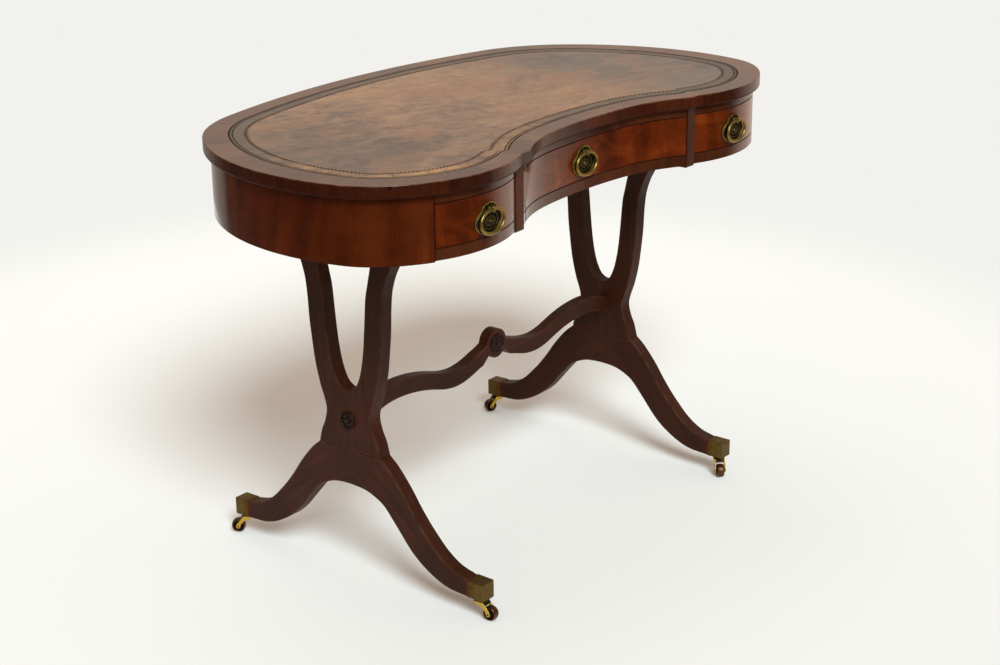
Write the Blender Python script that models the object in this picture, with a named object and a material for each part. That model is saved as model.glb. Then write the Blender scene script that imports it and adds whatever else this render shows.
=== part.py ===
"""Kidney shaped writing desk on two lyre pedestals.

Metres, +Z up. X runs along the desk, -Y is the hollow drawer side and +Y the
bulging back. The floor is z = 0 and the origin lies on it under the middle of
the desk's overall length and depth. Inside the file, y is counted from the
centre line of the pedestals, and one empty sets the whole desk forward.
"""
import math

import bmesh
import bpy
from mathutils import Vector

for leftover in list(bpy.data.objects):
    bpy.data.objects.remove(leftover, do_unlink=True)


# Driving dimensions

# Running gap between touching pieces, and how far a facet may stand off its curve
GAP = 0.0003
FACET_SAG = 0.00022
CUT_OVERRUN = 0.004

# Plan of the top, right half: tangent arcs that turn clockwise from the middle of the back
BACK_REACH = 0.318
BACK_RADIUS = 1.43
BACK_TURN = 13.5
SHOULDER_RADIUS = 0.25
SHOULDER_TURN = 36.5
END_RADIUS = 0.398
END_TURN = 54.5
CORNER_RADIUS = 0.138
CORNER_TURN = 28.5
BULGE_RADIUS = 0.229
BULGE_TURN = 73.0

# Plan of the hollow drawer side, right half, from its middle to the stile. Its arcs are drawn
# to this ratio and scaled to end at the stile, which stands across the corner of the bulge
HOLLOW_RADIUS = 0.85
HOLLOW_TURN = 7.5
FLANK_RADIUS = 0.26
FLANK_TURN = 27.0
STILE_SPREAD = 0.022593
STILE_STEP = 0.001322

# Top board and its leather
TOP_HEIGHT = 0.7425
TOP_THICKNESS = 0.021
TOP_LOWER_ROUND = 0.0026
TOP_UPPER_ROUND = 0.0013
TOP_OVERHANG = 0.0115
LEATHER_BORDER = 0.036
LEATHER_END_BORDER = 0.0455
LEATHER_BED = 0.0018
LEATHER_LOW = 0.0001

# Frieze, its front rails and the boards inside it
FRIEZE_HEIGHT = 0.102
FRIEZE_THICKNESS = 0.018
FRIEZE_DROP = 0.002
RAIL_DEPTH = 0.030
LOWER_RAIL_HEIGHT = 0.0185
UPPER_RAIL_HEIGHT = 0.015
END_JOINT_SETBACK = 0.118091
STILE_PROUD = 0.0015
STILE_DROP = 0.0035
STILE_ROUND = 0.002
DUST_BOARD_THICKNESS = 0.010
PARTITION_THICKNESS = 0.012
BEARER_WIDTH = 0.050
BEARER_HALF_LENGTH = 0.185

# Drawers
DRAWER_LINE = 0.0006
DRAWER_FRONT_THICKNESS = 0.020
DRAWER_SIDE_THICKNESS = 0.009
DRAWER_SIDE_SETBACK = 0.0006
DRAWER_SIDE_DROP = 0.006
DRAWER_BACK_CLEARANCE = 0.016
DRAWER_BOTTOM_THICKNESS = 0.006
DRAWER_BOTTOM_LIFT = 0.004

# Oval ring handles
HANDLE_SHIFT = 0.0037
HANDLE_DROP = 0.00575
LEFT_HANDLE_SAG = 0.0043
RIGHT_HANDLE_SAG = 0.0015
PLATE_HALF_WIDTH = 0.033
PLATE_HALF_HEIGHT = 0.0213
PLATE_THICKNESS = 0.0014
PLATE_RIM = 0.0024
CREST_HEIGHT = 0.0089
CREST_HALF_ANGLE = 34.0
CREST_LOBE_DEPTH = 0.0009
ROSETTE_HALF_WIDTH = 0.0205
ROSETTE_HALF_HEIGHT = 0.0135
ROSETTE_DEPTH = 0.0062
RING_HALF_WIDTH = 0.0278
RING_HALF_HEIGHT = 0.0188
RING_WIRE = 0.0028
RING_STANDOFF = 0.0075
EYE_CLEARANCE = 0.0005
EYE_WALL = 0.0014
EYE_WIDTH = 0.0060
POST_RADIUS = 0.0026

# Lyre pedestals
PEDESTAL_SETBACK = 0.204591
PEDESTAL_THICKNESS = 0.026
SHOE_TOP = 0.2272
LYRE_HALF_WIDTH = 0.124
WOOD_ARRIS = 0.0013
BOSS_RISE = 0.0528
BOSS_RADIUS = 0.015
BOSS_DEPTH = 0.0062

# Sabre legged shoes, toe caps and castors
SHOE_HALF_SPAN = 0.2465
TENON_LENGTH = 0.0080
TOE_CAP_LENGTH = 0.0325
TOE_CAP_WIDTH = 0.028
TOE_CAP_HEIGHT = 0.0306
TOE_CAP_FALL = 0.0003
TOE_CAP_WALL = 0.0014
TOE_CAP_ARRIS = 0.0008
STEM_RADIUS = 0.0032
STEM_LENGTH = 0.012
COLLAR_RADIUS = 0.0098
COLLAR_HEIGHT = 0.0030
CASTOR_OUTWARD = 0.0013
CASTOR_TRAIL = 0.0175
FORK_CHEEK = 0.0024
FORK_CROWN = 0.0066
FORK_EYE_RADIUS = 0.0040
WHEEL_RADIUS = 0.0122
WHEEL_TREAD = 0.0130
WHEEL_TOP_CLEARANCE = 0.0012
WHEEL_SIDE_CLEARANCE = 0.00125
WHEEL_HUB_RADIUS = 0.0050
WHEEL_RIM = 0.0030
WHEEL_DISH = 0.0014
WHEEL_ARRIS = 0.0008
AXLE_RADIUS = 0.0017
AXLE_PROUD = 0.0009

# Wavy stretcher
STRETCHER_THICKNESS = 0.021
STRETCHER_FORWARD = 0.008
STRETCHER_BAND = 0.030
STRETCHER_CREST_RISE = 0.0776
STRETCHER_DIP_RISE = 0.0510
ROUNDEL_RISE = 0.0828
ROUNDEL_RADIUS = 0.0265
ROUNDEL_BOSS_RADIUS = 0.0175
ROUNDEL_BOSS_DEPTH = 0.0045

# Derived levels and planes
TOP_UNDER = TOP_HEIGHT - TOP_THICKNESS
FRIEZE_UNDER = TOP_UNDER - FRIEZE_HEIGHT
DRAWER_FLOOR = FRIEZE_UNDER + LOWER_RAIL_HEIGHT
DRAWER_CEILING = TOP_UNDER - UPPER_RAIL_HEIGHT
DUST_BOARD_UNDER = DRAWER_FLOOR - DUST_BOARD_THICKNESS
FRIEZE_INSET = TOP_OVERHANG
STILE_INSET = FRIEZE_INSET - STILE_PROUD
WALL_INSET = FRIEZE_INSET + FRIEZE_THICKNESS
RAIL_BACK_INSET = FRIEZE_INSET + RAIL_DEPTH
HANDLE_HEIGHT = (DRAWER_FLOOR + DRAWER_CEILING) / 2 - HANDLE_DROP
LYRE_BASE = SHOE_TOP + GAP
LYRE_TOP = FRIEZE_UNDER
BOSS_HEIGHT = SHOE_TOP + BOSS_RISE
STRETCHER_CREST = SHOE_TOP + STRETCHER_CREST_RISE
STRETCHER_DIP = SHOE_TOP + STRETCHER_DIP_RISE
ROUNDEL_HEIGHT = SHOE_TOP + ROUNDEL_RISE
CASTOR_Y = SHOE_HALF_SPAN + TOE_CAP_LENGTH / 2 + CASTOR_OUTWARD
FORK_CROWN_UNDER = WHEEL_RADIUS * 2 + WHEEL_TOP_CLEARANCE
COLLAR_UNDER = FORK_CROWN_UNDER + FORK_CROWN
FORK_TOP = COLLAR_UNDER + COLLAR_HEIGHT
TOE_UNDER = FORK_TOP + GAP
FORK_SLOT_HALF = WHEEL_TREAD / 2 + WHEEL_SIDE_CLEARANCE
FORK_WIDTH = (FORK_SLOT_HALF + FORK_CHEEK) * 2

OUTER_ARCS = (
    (BACK_RADIUS, BACK_TURN),
    (SHOULDER_RADIUS, SHOULDER_TURN),
    (END_RADIUS, END_TURN),
    (CORNER_RADIUS, CORNER_TURN),
    (BULGE_RADIUS, BULGE_TURN),
)
DRAWN_HOLLOW_ARCS = (
    (HOLLOW_RADIUS, HOLLOW_TURN),
    (FLANK_RADIUS, FLANK_TURN),
)


# Curves

def arc_run(start_y, arcs, inset, side):
    """Points along tangent arcs from (0, start_y), heading +X and turning right.

    A side of +1 moves the run to the inside of its turn by the inset, -1 to the outside.
    """
    points = []
    cursor = Vector((0.0, start_y))
    heading = 0.0
    for radius, turn in arcs:
        sweep = math.radians(turn)
        count = max(2, math.ceil(sweep / (2 * math.acos(1 - FACET_SAG / radius))))
        centre = cursor - Vector((-math.sin(heading), math.cos(heading))) * radius
        for step in range(1 if points else 0, count + 1):
            angle = heading - sweep * step / count
            reach = Vector((-math.sin(angle), math.cos(angle))) * (radius - side * inset)
            points.append(centre + reach)
        heading -= sweep
        cursor = centre + Vector((-math.sin(heading), math.cos(heading))) * radius
    return points


def outer_run(inset):
    """Right half from the middle of the back, round the end, to the stile."""
    return arc_run(BACK_REACH, OUTER_ARCS, inset, 1)


# The hollow's arcs scaled to the corner of the bulge, and how far its middle stands forward
bulge_corner = outer_run(0.0)[-1]
drawn_corner = arc_run(0.0, DRAWN_HOLLOW_ARCS, 0.0, -1)[-1]
hollow_scale = (bulge_corner.x - STILE_SPREAD) / drawn_corner.x
hollow_arcs = [(radius * hollow_scale, turn) for radius, turn in DRAWN_HOLLOW_ARCS]
hollow_middle_y = bulge_corner.y + STILE_STEP - drawn_corner.y * hollow_scale


def hollow_run(inset):
    """Right half of the hollow front, from its middle to the stile."""
    return arc_run(hollow_middle_y, hollow_arcs, inset, -1)


def mirrored(points):
    """The same points on the other side of the YZ plane, in reverse order."""
    return [Vector((-p.x, p.y)) for p in reversed(points)]


def plan_ring(inset):
    """The whole outline of the top, moved inward by the inset."""
    right = outer_run(inset) + list(reversed(hollow_run(inset)))
    return right + mirrored(right)[1:-1]


def front_run(inset):
    """The whole drawer side from the left end to the right, in order of x."""
    outer = outer_run(inset)
    widest = max(range(len(outer)), key=lambda index: outer[index].x)
    right = hollow_run(inset) + list(reversed(outer[widest:]))
    return mirrored(right)[:-1] + right


def cross_at(first, second, x):
    """The point at this x on the line through two points."""
    share = (x - first.x) / (second.x - first.x)
    return first.lerp(second, share)


def front_between(inset, low_x, high_x):
    """The drawer side cut off square at two values of x."""
    run = front_run(inset)
    cut = []
    for first, second in zip(run, run[1:]):
        if first.x <= low_x < second.x:
            cut.append(cross_at(first, second, low_x))
        if low_x < second.x < high_x:
            cut.append(second.copy())
        if first.x < high_x <= second.x:
            cut.append(cross_at(first, second, high_x))
    return cut


def front_y(inset, x):
    """Where the drawer side stands at this x."""
    for first, second in zip(front_run(inset), front_run(inset)[1:]):
        if first.x <= x <= second.x:
            return cross_at(first, second, x).y
    return 0.0


def back_y(inset, x):
    """Where the back of the outline stands at this x."""
    run = outer_run(inset)
    for first, second in zip(run, run[1:]):
        if first.x <= abs(x) <= second.x:
            return cross_at(first, second, abs(x)).y
    return 0.0


def back_run(inset, joint_x):
    """From the left joint of the front, round the back, to the right joint."""
    outer = outer_run(inset)
    widest = max(range(len(outer)), key=lambda index: outer[index].x)
    right = []
    for index, point in enumerate(outer):
        if index > widest and point.x < joint_x:
            right.append(cross_at(outer[index - 1], point, joint_x))
            break
        right.append(point)
    return mirrored(right)[:-1] + right


def curve_through(points, per_span):
    """A smooth run through hand chosen points."""
    knots = [points[0] * 2 - points[1]] + list(points) + [points[-1] * 2 - points[-2]]
    run = []
    for index in range(1, len(knots) - 2):
        before, start, end, after = knots[index - 1:index + 3]
        for step in range(per_span):
            t = step / per_span
            run.append(
                (start * 2 + (end - before) * t
                 + (before * 2 - start * 5 + end * 4 - after) * t ** 2
                 + (start * 3 - before - end * 3 + after) * t ** 3) / 2
            )
    run.append(knots[-2].copy())
    return run


# Solids

def body_from(bm, name, place, colour, roughness, metallic, smooth_angle=40.0):
    """One named object with its own finish, placed under the desk's empty."""
    bmesh.ops.recalc_face_normals(bm, faces=bm.faces)
    mesh = bpy.data.meshes.new(name)
    bm.to_mesh(mesh)
    bm.free()
    mesh.shade_smooth()
    mesh.set_sharp_from_angle(angle=math.radians(smooth_angle))
    body = bpy.data.objects.new(name, mesh)
    body.location = place
    bpy.context.collection.objects.link(body)
    finish = bpy.data.materials.new(name + "_finish")
    finish.use_nodes = True
    shader = finish.node_tree.nodes["Principled BSDF"]
    shader.inputs["Base Color"].default_value = (*colour, 1.0)
    shader.inputs["Roughness"].default_value = roughness
    shader.inputs["Metallic"].default_value = metallic
    mesh.materials.append(finish)
    return body


def loft(rings):
    """A closed body through rings of equal count, flat at both ends."""
    bm = bmesh.new()
    loops = [[bm.verts.new(point) for point in ring] for ring in rings]
    for lower, upper in zip(loops, loops[1:]):
        for index in range(len(lower)):
            after = (index + 1) % len(lower)
            bm.faces.new((lower[index], lower[after], upper[after], upper[index]))
    bm.faces.new(list(reversed(loops[0])))
    bm.faces.new(loops[-1])
    return bm


def slab(outline, low, high):
    """A board of this plan between two heights."""
    return loft([[(p.x, p.y, z) for p in outline] for z in (low, high)])


def upright(outline, near_x, far_x):
    """A board of this (y, z) side view between two values of x."""
    return loft([[(x, p.x, p.y) for p in outline] for x in (near_x, far_x)])


def lengthwise(outline, near_y, far_y):
    """A board of this (x, z) front view between two values of y."""
    return loft([[(p.x, y, p.y) for p in outline] for y in (near_y, far_y)])


def box(low, high):
    """A rectangular block between two corners."""
    corners = [Vector((low[0], low[1])), Vector((high[0], low[1])),
               Vector((high[0], high[1])), Vector((low[0], high[1]))]
    return slab(corners, low[2], high[2])


def turned(profile, axis, segments):
    """A body turned about an axis of X, Y or Z from (radius, height) pairs."""
    rings = []
    for radius, height in profile:
        ring = []
        for index in range(segments):
            angle = 2 * math.pi * index / segments
            u = radius * math.cos(angle)
            v = radius * math.sin(angle)
            point = {"X": (height, u, v), "Y": (v, height, u), "Z": (u, v, height)}[axis]
            ring.append(point)
        rings.append(ring)
    return loft(rings)


def guide(bm, name, parent):
    """A hidden shape that cuts or joins another body and moves with it."""
    bmesh.ops.recalc_face_normals(bm, faces=bm.faces)
    mesh = bpy.data.meshes.new(name)
    bm.to_mesh(mesh)
    bm.free()
    shape = bpy.data.objects.new(name, mesh)
    shape.parent = parent
    shape.hide_render = True
    shape.display_type = "WIRE"
    bpy.context.collection.objects.link(shape)
    return shape


def combine(body, shape, operation):
    """Cut or join a body with a guide."""
    step = body.modifiers.new(shape.name, "BOOLEAN")
    step.operation = operation
    step.solver = "EXACT"
    step.object = shape


def soften(body, width, segments=1):
    """Rounded arrises, shaded so that the flats stay flat."""
    edge = body.modifiers.new("arris", "BEVEL")
    edge.width = width
    edge.segments = segments
    edge.limit_method = "ANGLE"
    edge.angle_limit = math.radians(40)
    shading = body.modifiers.new("shading", "WEIGHTED_NORMAL")
    shading.keep_sharp = False


# Finishes: colour, roughness and metallic of each kind of piece
MAHOGANY = ((0.150, 0.052, 0.024), 0.32, 0.0)
TOP_MAHOGANY = ((0.130, 0.050, 0.026), 0.30, 0.0)
DARK_MAHOGANY = ((0.060, 0.026, 0.015), 0.36, 0.0)
OAK = ((0.300, 0.190, 0.100), 0.65, 0.0)
PINE = ((0.360, 0.240, 0.130), 0.70, 0.0)
LEATHER = ((0.140, 0.090, 0.055), 0.55, 0.0)
OLD_BRASS = ((0.360, 0.270, 0.110), 0.38, 1.0)
BRIGHT_BRASS = ((0.620, 0.430, 0.150), 0.28, 1.0)
BRONZE = ((0.110, 0.065, 0.035), 0.45, 0.7)

parts = []


def add(bm, name, place, kind, smooth_angle=40.0):
    """Make a piece of the desk."""
    body = body_from(bm, name, place, *kind, smooth_angle)
    parts.append(body)
    return body


# Half the length of the top, and what is set back from its ends
half_length = max(point.x for point in plan_ring(0.0))
end_joint_x = half_length - END_JOINT_SETBACK
pedestal_x = half_length - PEDESTAL_SETBACK

# Top board with a shallow bed for the leather
leather_stretch = (half_length - LEATHER_END_BORDER) / (half_length - LEATHER_BORDER)


def leather_ring(extra):
    """Outline of the leather's bed, moved inward by the extra."""
    return [Vector((p.x * leather_stretch, p.y)) for p in plan_ring(LEATHER_BORDER + extra)]


def edge_profile(low, high, low_round, high_round, low_steps, high_steps):
    """(inset, z) pairs up the edge of a board with both arrises rounded."""
    pairs = []
    for step in range(low_steps + 1):
        angle = math.radians(90 * step / low_steps)
        pairs.append((low_round * (1 - math.sin(angle)), low + low_round * (1 - math.cos(angle))))
    for step in range(high_steps + 1):
        angle = math.radians(90 * step / high_steps)
        pairs.append((high_round * (1 - math.cos(angle)), high - high_round * (1 - math.sin(angle))))
    return pairs


top_rings = []
for inset, z in edge_profile(TOP_UNDER, TOP_HEIGHT, TOP_LOWER_ROUND, TOP_UPPER_ROUND, 2, 2):
    top_rings.append([(p.x, p.y, z) for p in plan_ring(inset)])
for z in (TOP_HEIGHT, TOP_HEIGHT - LEATHER_BED):
    top_rings.append([(p.x, p.y, z) for p in leather_ring(0.0)])
add(loft(top_rings), "top_board", (0, 0, 0), TOP_MAHOGANY, 30.0)

# Leather laid in the bed
add(slab(leather_ring(GAP), TOP_HEIGHT - LEATHER_BED + GAP, TOP_HEIGHT - LEATHER_LOW),
    "leather_inset", (0, 0, 0), LEATHER)

# Frieze: one bent band round both ends and the back
frieze_plan = back_run(FRIEZE_INSET, end_joint_x + GAP / 2)
frieze_plan += list(reversed(back_run(WALL_INSET, end_joint_x + GAP / 2)))
add(slab(frieze_plan, FRIEZE_UNDER - FRIEZE_DROP, TOP_UNDER - GAP), "frieze_band", (0, 0, 0), MAHOGANY)

# Stiles, a little proud of the drawers and of the frieze's lower edge
stile_inner_x = hollow_run(STILE_INSET)[-1].x
stile_outer_x = outer_run(STILE_INSET)[-1].x
stile_face_y = outer_run(STILE_INSET)[-1].y
stile_back_y = hollow_run(RAIL_BACK_INSET)[-1].y - GAP
for side, label in ((-1, "left"), (1, "right")):
    near = Vector((side * stile_inner_x, hollow_run(STILE_INSET)[-1].y))
    far = Vector((side * stile_outer_x, stile_face_y))
    stile_plan = [near, far, Vector((far.x, stile_back_y)), Vector((near.x, stile_back_y))]
    stile_bm = loft([
        [(p.x, min(p.y + STILE_ROUND, stile_back_y), FRIEZE_UNDER - STILE_DROP) for p in stile_plan],
        [(p.x, p.y, FRIEZE_UNDER - STILE_DROP + STILE_ROUND) for p in stile_plan],
        [(p.x, p.y, TOP_UNDER - GAP) for p in stile_plan],
    ])
    add(stile_bm, "stile_" + label, (0, 0, 0), MAHOGANY)

# Rails over and under the three drawers, and the spans that the drawers fill
centre_span = (-(stile_inner_x - GAP), stile_inner_x - GAP)
right_span = (stile_outer_x + GAP, end_joint_x - GAP / 2)
left_span = (-right_span[1], -right_span[0])
spans = (("left", left_span), ("center", centre_span), ("right", right_span))
for label, (low_x, high_x) in spans:
    rail_plan = front_between(FRIEZE_INSET, low_x, high_x)
    rail_plan += list(reversed(front_between(RAIL_BACK_INSET, low_x, high_x)))
    add(slab(rail_plan, FRIEZE_UNDER, DRAWER_FLOOR), "lower_rail_" + label, (0, 0, 0), MAHOGANY)
    add(slab(rail_plan, DRAWER_CEILING, TOP_UNDER - GAP), "upper_rail_" + label, (0, 0, 0), MAHOGANY)

# Dust board level with the lower rails: the drawers run on it
dust_plan = back_run(WALL_INSET + GAP, right_span[1])
dust_front = front_between(RAIL_BACK_INSET + GAP, left_span[0], right_span[1])
dust_plan += list(reversed(dust_front))
add(slab(dust_plan, DUST_BOARD_UNDER, DRAWER_FLOOR), "dust_board", (0, 0, 0), OAK)

# Partitions behind the stiles
partition_x = (stile_inner_x + stile_outer_x) / 2
partition_near = stile_back_y + GAP
for side, label in ((-1, "left"), (1, "right")):
    low_x = side * partition_x - PARTITION_THICKNESS / 2
    high_x = side * partition_x + PARTITION_THICKNESS / 2
    partition_plan = [Vector((low_x, partition_near)), Vector((high_x, partition_near)),
                      Vector((high_x, back_y(WALL_INSET + GAP, high_x))),
                      Vector((low_x, back_y(WALL_INSET + GAP, low_x)))]
    add(slab(partition_plan, DRAWER_FLOOR + GAP, TOP_UNDER - GAP), "partition_" + label, (0, 0, 0), OAK)

# Bearers under the dust board: the pedestals are fixed up into them
for side, label in ((-1, "left"), (1, "right")):
    add(box((side * pedestal_x - BEARER_WIDTH / 2, -BEARER_HALF_LENGTH, FRIEZE_UNDER + GAP),
            (side * pedestal_x + BEARER_WIDTH / 2, BEARER_HALF_LENGTH, DUST_BOARD_UNDER - GAP)),
        "bearer_" + label, (0, 0, 0), PINE)

# Drawers: a bent front, sides and back in one, and a bottom board
for label, (low_x, high_x) in spans:
    line = DRAWER_LINE - GAP
    front_low = low_x + line
    front_high = high_x - line
    front_plan = front_between(FRIEZE_INSET, front_low, front_high)
    face_back = FRIEZE_INSET + DRAWER_FRONT_THICKNESS
    front_plan += list(reversed(front_between(face_back, front_low, front_high)))
    add(slab(front_plan, DRAWER_FLOOR + DRAWER_LINE, DRAWER_CEILING - DRAWER_LINE),
        "drawer_" + label + "_front", (0, 0, 0), MAHOGANY)
    side_low = front_low + DRAWER_SIDE_SETBACK
    side_high = front_high - DRAWER_SIDE_SETBACK
    wall_low = side_low + DRAWER_SIDE_THICKNESS
    wall_high = side_high - DRAWER_SIDE_THICKNESS
    joint = face_back + GAP
    drawer_back = min(back_y(WALL_INSET, side_low), back_y(WALL_INSET, side_high)) - DRAWER_BACK_CLEARANCE
    inner_back = drawer_back - DRAWER_SIDE_THICKNESS
    box_plan = front_between(joint, side_low, wall_low)
    box_plan += [Vector((wall_low, inner_back)), Vector((wall_high, inner_back))]
    box_plan += front_between(joint, wall_high, side_high)
    box_plan += [Vector((side_high, drawer_back)), Vector((side_low, drawer_back))]
    add(slab(box_plan, DRAWER_FLOOR + GAP, DRAWER_CEILING - DRAWER_SIDE_DROP),
        "drawer_" + label + "_box", (0, 0, 0), OAK)
    bottom_plan = front_between(joint, wall_low + GAP, wall_high - GAP)
    bottom_plan += [Vector((wall_high - GAP, inner_back - GAP)), Vector((wall_low + GAP, inner_back - GAP))]
    bottom_low = DRAWER_FLOOR + DRAWER_BOTTOM_LIFT
    add(slab(bottom_plan, bottom_low, bottom_low + DRAWER_BOTTOM_THICKNESS),
        "drawer_" + label + "_bottom", (0, 0, 0), PINE)

# Handles: an oval backplate with a crest, a rosette and a pierced post, and a hanging oval ring
PLATE_POINTS = 36
RING_POINTS = 28
WIRE_POINTS = 8
CREST_LOBES = 5
# Rings of the plate, out along its back and in from rim to rosette: share of its size, and depth off the face
plate_shares = (0.05, 0.4, 0.72, 1.0, 1.0, 0.975, 0.945, 0.925)
plate_depths = (0.0, 0.0, 0.0, 0.0, PLATE_THICKNESS, PLATE_RIM, PLATE_RIM, PLATE_THICKNESS)
# Rings of the rosette: share of its size and share of its depth
rosette_shares = ((1.0, 0.25), (0.92, 0.62), (0.55, 0.70), (0.30, 1.0))
eye_bore = RING_WIRE + EYE_CLEARANCE
eye_radius = eye_bore + EYE_WALL
hinge_drop = RING_HALF_HEIGHT


def oval(half_width, half_height, crest):
    """Points of an oval in (x, z), with the lobed crest added at its top."""
    points = []
    for index in range(PLATE_POINTS):
        angle = 2 * math.pi * index / PLATE_POINTS
        away = math.degrees(angle) - 90
        lift = 0.0
        if abs(away) < CREST_HALF_ANGLE:
            share = away / CREST_HALF_ANGLE
            lift = crest * math.sqrt(1 - share ** 2)
            lobe = CREST_LOBE_DEPTH * crest / CREST_HEIGHT
            lift -= lobe * math.sin(math.pi * (share + 1) / 2 * CREST_LOBES) ** 2
        points.append(((half_width * math.cos(angle)), half_height * math.sin(angle) + lift))
    return points


handle_end_x = (right_span[0] + right_span[1]) / 2 - HANDLE_SHIFT
handle_places = (
    ("left", -handle_end_x, HANDLE_HEIGHT - LEFT_HANDLE_SAG),
    ("center", 0.0, HANDLE_HEIGHT),
    ("right", handle_end_x, HANDLE_HEIGHT - RIGHT_HANDLE_SAG),
)
for label, handle_x, handle_z in handle_places:
    face = front_y(FRIEZE_INSET, handle_x)
    rings = []
    for share, depth in zip(plate_shares, plate_depths):
        crest = CREST_HEIGHT * share
        outline = oval(PLATE_HALF_WIDTH * share, PLATE_HALF_HEIGHT * share, crest)
        rings.append([(x, depth, z) for x, z in outline])
    for share, depth_share in rosette_shares:
        outline = oval(ROSETTE_HALF_WIDTH * share, ROSETTE_HALF_HEIGHT * share, 0.0)
        rings.append([(x, ROSETTE_DEPTH * depth_share, z) for x, z in outline])
    # The plate is bent to the drawer's face, so each point stands off the face at its own x
    bent = []
    for ring in rings:
        bent.append([(x, front_y(FRIEZE_INSET, handle_x + x) - face - GAP - depth, z)
                     for x, depth, z in ring])
    plate = add(loft(bent), "handle_" + label + "_plate", (handle_x, face, handle_z), OLD_BRASS, 35.0)
    post = guide(turned(((POST_RADIUS, -GAP - PLATE_THICKNESS / 2), (POST_RADIUS, -RING_STANDOFF)), "Y", 12),
                 "handle_" + label + "_post", plate)
    post.location = (0, 0, hinge_drop)
    combine(plate, post, "UNION")
    knuckle = guide(turned(((eye_radius, -EYE_WIDTH / 2), (eye_radius, EYE_WIDTH / 2)), "X", 16),
                    "handle_" + label + "_knuckle", plate)
    knuckle.location = (0, -RING_STANDOFF, hinge_drop)
    combine(plate, knuckle, "UNION")
    bore = guide(turned(((eye_bore, -EYE_WIDTH), (eye_bore, EYE_WIDTH)), "X", 16),
                 "handle_" + label + "_bore", plate)
    bore.location = (0, -RING_STANDOFF, hinge_drop)
    combine(plate, bore, "DIFFERENCE")
    ring_bm = bmesh.new()
    loops = []
    for index in range(RING_POINTS):
        angle = 2 * math.pi * index / RING_POINTS
        centre = Vector((RING_HALF_WIDTH * math.sin(angle), 0,
                         RING_HALF_HEIGHT * math.cos(angle) - hinge_drop))
        along = Vector((RING_HALF_WIDTH * math.cos(angle), 0,
                        -RING_HALF_HEIGHT * math.sin(angle))).normalized()
        outward = Vector((-along.z, 0, along.x))
        loop = []
        for turn in range(WIRE_POINTS):
            roll = 2 * math.pi * turn / WIRE_POINTS
            reach = outward * math.cos(roll) + Vector((0, 1, 0)) * math.sin(roll)
            loop.append(ring_bm.verts.new(centre + reach * RING_WIRE))
        loops.append(loop)
    for index in range(RING_POINTS):
        lower = loops[index]
        upper = loops[(index + 1) % RING_POINTS]
        for turn in range(WIRE_POINTS):
            after = (turn + 1) % WIRE_POINTS
            ring_bm.faces.new((lower[turn], lower[after], upper[after], upper[turn]))
    add(ring_bm, "handle_" + label + "_ring",
        (handle_x, face - RING_STANDOFF, handle_z + hinge_drop), OLD_BRASS, 60.0)

# Lyres: outer side and the U, in shares of the half width and of the height
lyre_outer_shares = (
    (0.540, 0.000), (0.492, 0.057), (0.427, 0.103), (0.387, 0.156), (0.416, 0.203), (0.484, 0.264),
    (0.556, 0.358), (0.600, 0.460), (0.629, 0.545), (0.645, 0.640), (0.669, 0.713), (0.706, 0.760),
    (0.752, 0.800), (0.815, 0.838), (0.880, 0.874), (0.944, 0.925), (1.000, 1.000),
)
lyre_inner_shares = (
    (0.590, 1.000), (0.532, 0.899), (0.484, 0.838), (0.415, 0.744), (0.377, 0.687), (0.345, 0.575),
    (0.305, 0.455), (0.245, 0.360), (0.165, 0.298), (0.082, 0.272), (0.000, 0.265),
)
lyre_height = LYRE_TOP - LYRE_BASE


def lyre_points(shares):
    """Shares turned into (y, z)."""
    return [Vector((LYRE_HALF_WIDTH * w, LYRE_BASE + lyre_height * h)) for w, h in shares]


lyre_side = curve_through(lyre_points(lyre_outer_shares), 2)
lyre_gap = lyre_points(lyre_inner_shares)
lyre_gap = curve_through(lyre_gap + mirrored(lyre_gap)[1:], 2)
lyre_outline = lyre_side + lyre_gap + mirrored(lyre_side)
for side, label in ((-1, "left"), (1, "right")):
    lyre_bm = upright(lyre_outline, -PEDESTAL_THICKNESS / 2, PEDESTAL_THICKNESS / 2)
    lyre = add(lyre_bm, "lyre_" + label, (side * pedestal_x, 0, 0), DARK_MAHOGANY, 60.0)
    soften(lyre, WOOD_ARRIS)

# Shoes: upper and lower side of the sabre legs, in shares of the half span and of the height
shoe_upper_shares = (
    (0.272, 1.000), (0.337, 0.931), (0.407, 0.832), (0.467, 0.734), (0.522, 0.632), (0.589, 0.520),
    (0.659, 0.418), (0.760, 0.290), (0.874, 0.199), (1.000, 0.156),
)
shoe_lower_shares = (
    (1.000, 0.000), (0.825, 0.019), (0.675, 0.097), (0.533, 0.228), (0.394, 0.431), (0.297, 0.569),
    (0.211, 0.634), (0.122, 0.670), (0.000, 0.681),
)
shoe_height = SHOE_TOP - TOE_UNDER


def shoe_points(shares):
    """Shares turned into (y, z)."""
    return [Vector((SHOE_HALF_SPAN * w, TOE_UNDER + shoe_height * h)) for w, h in shares]


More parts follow.
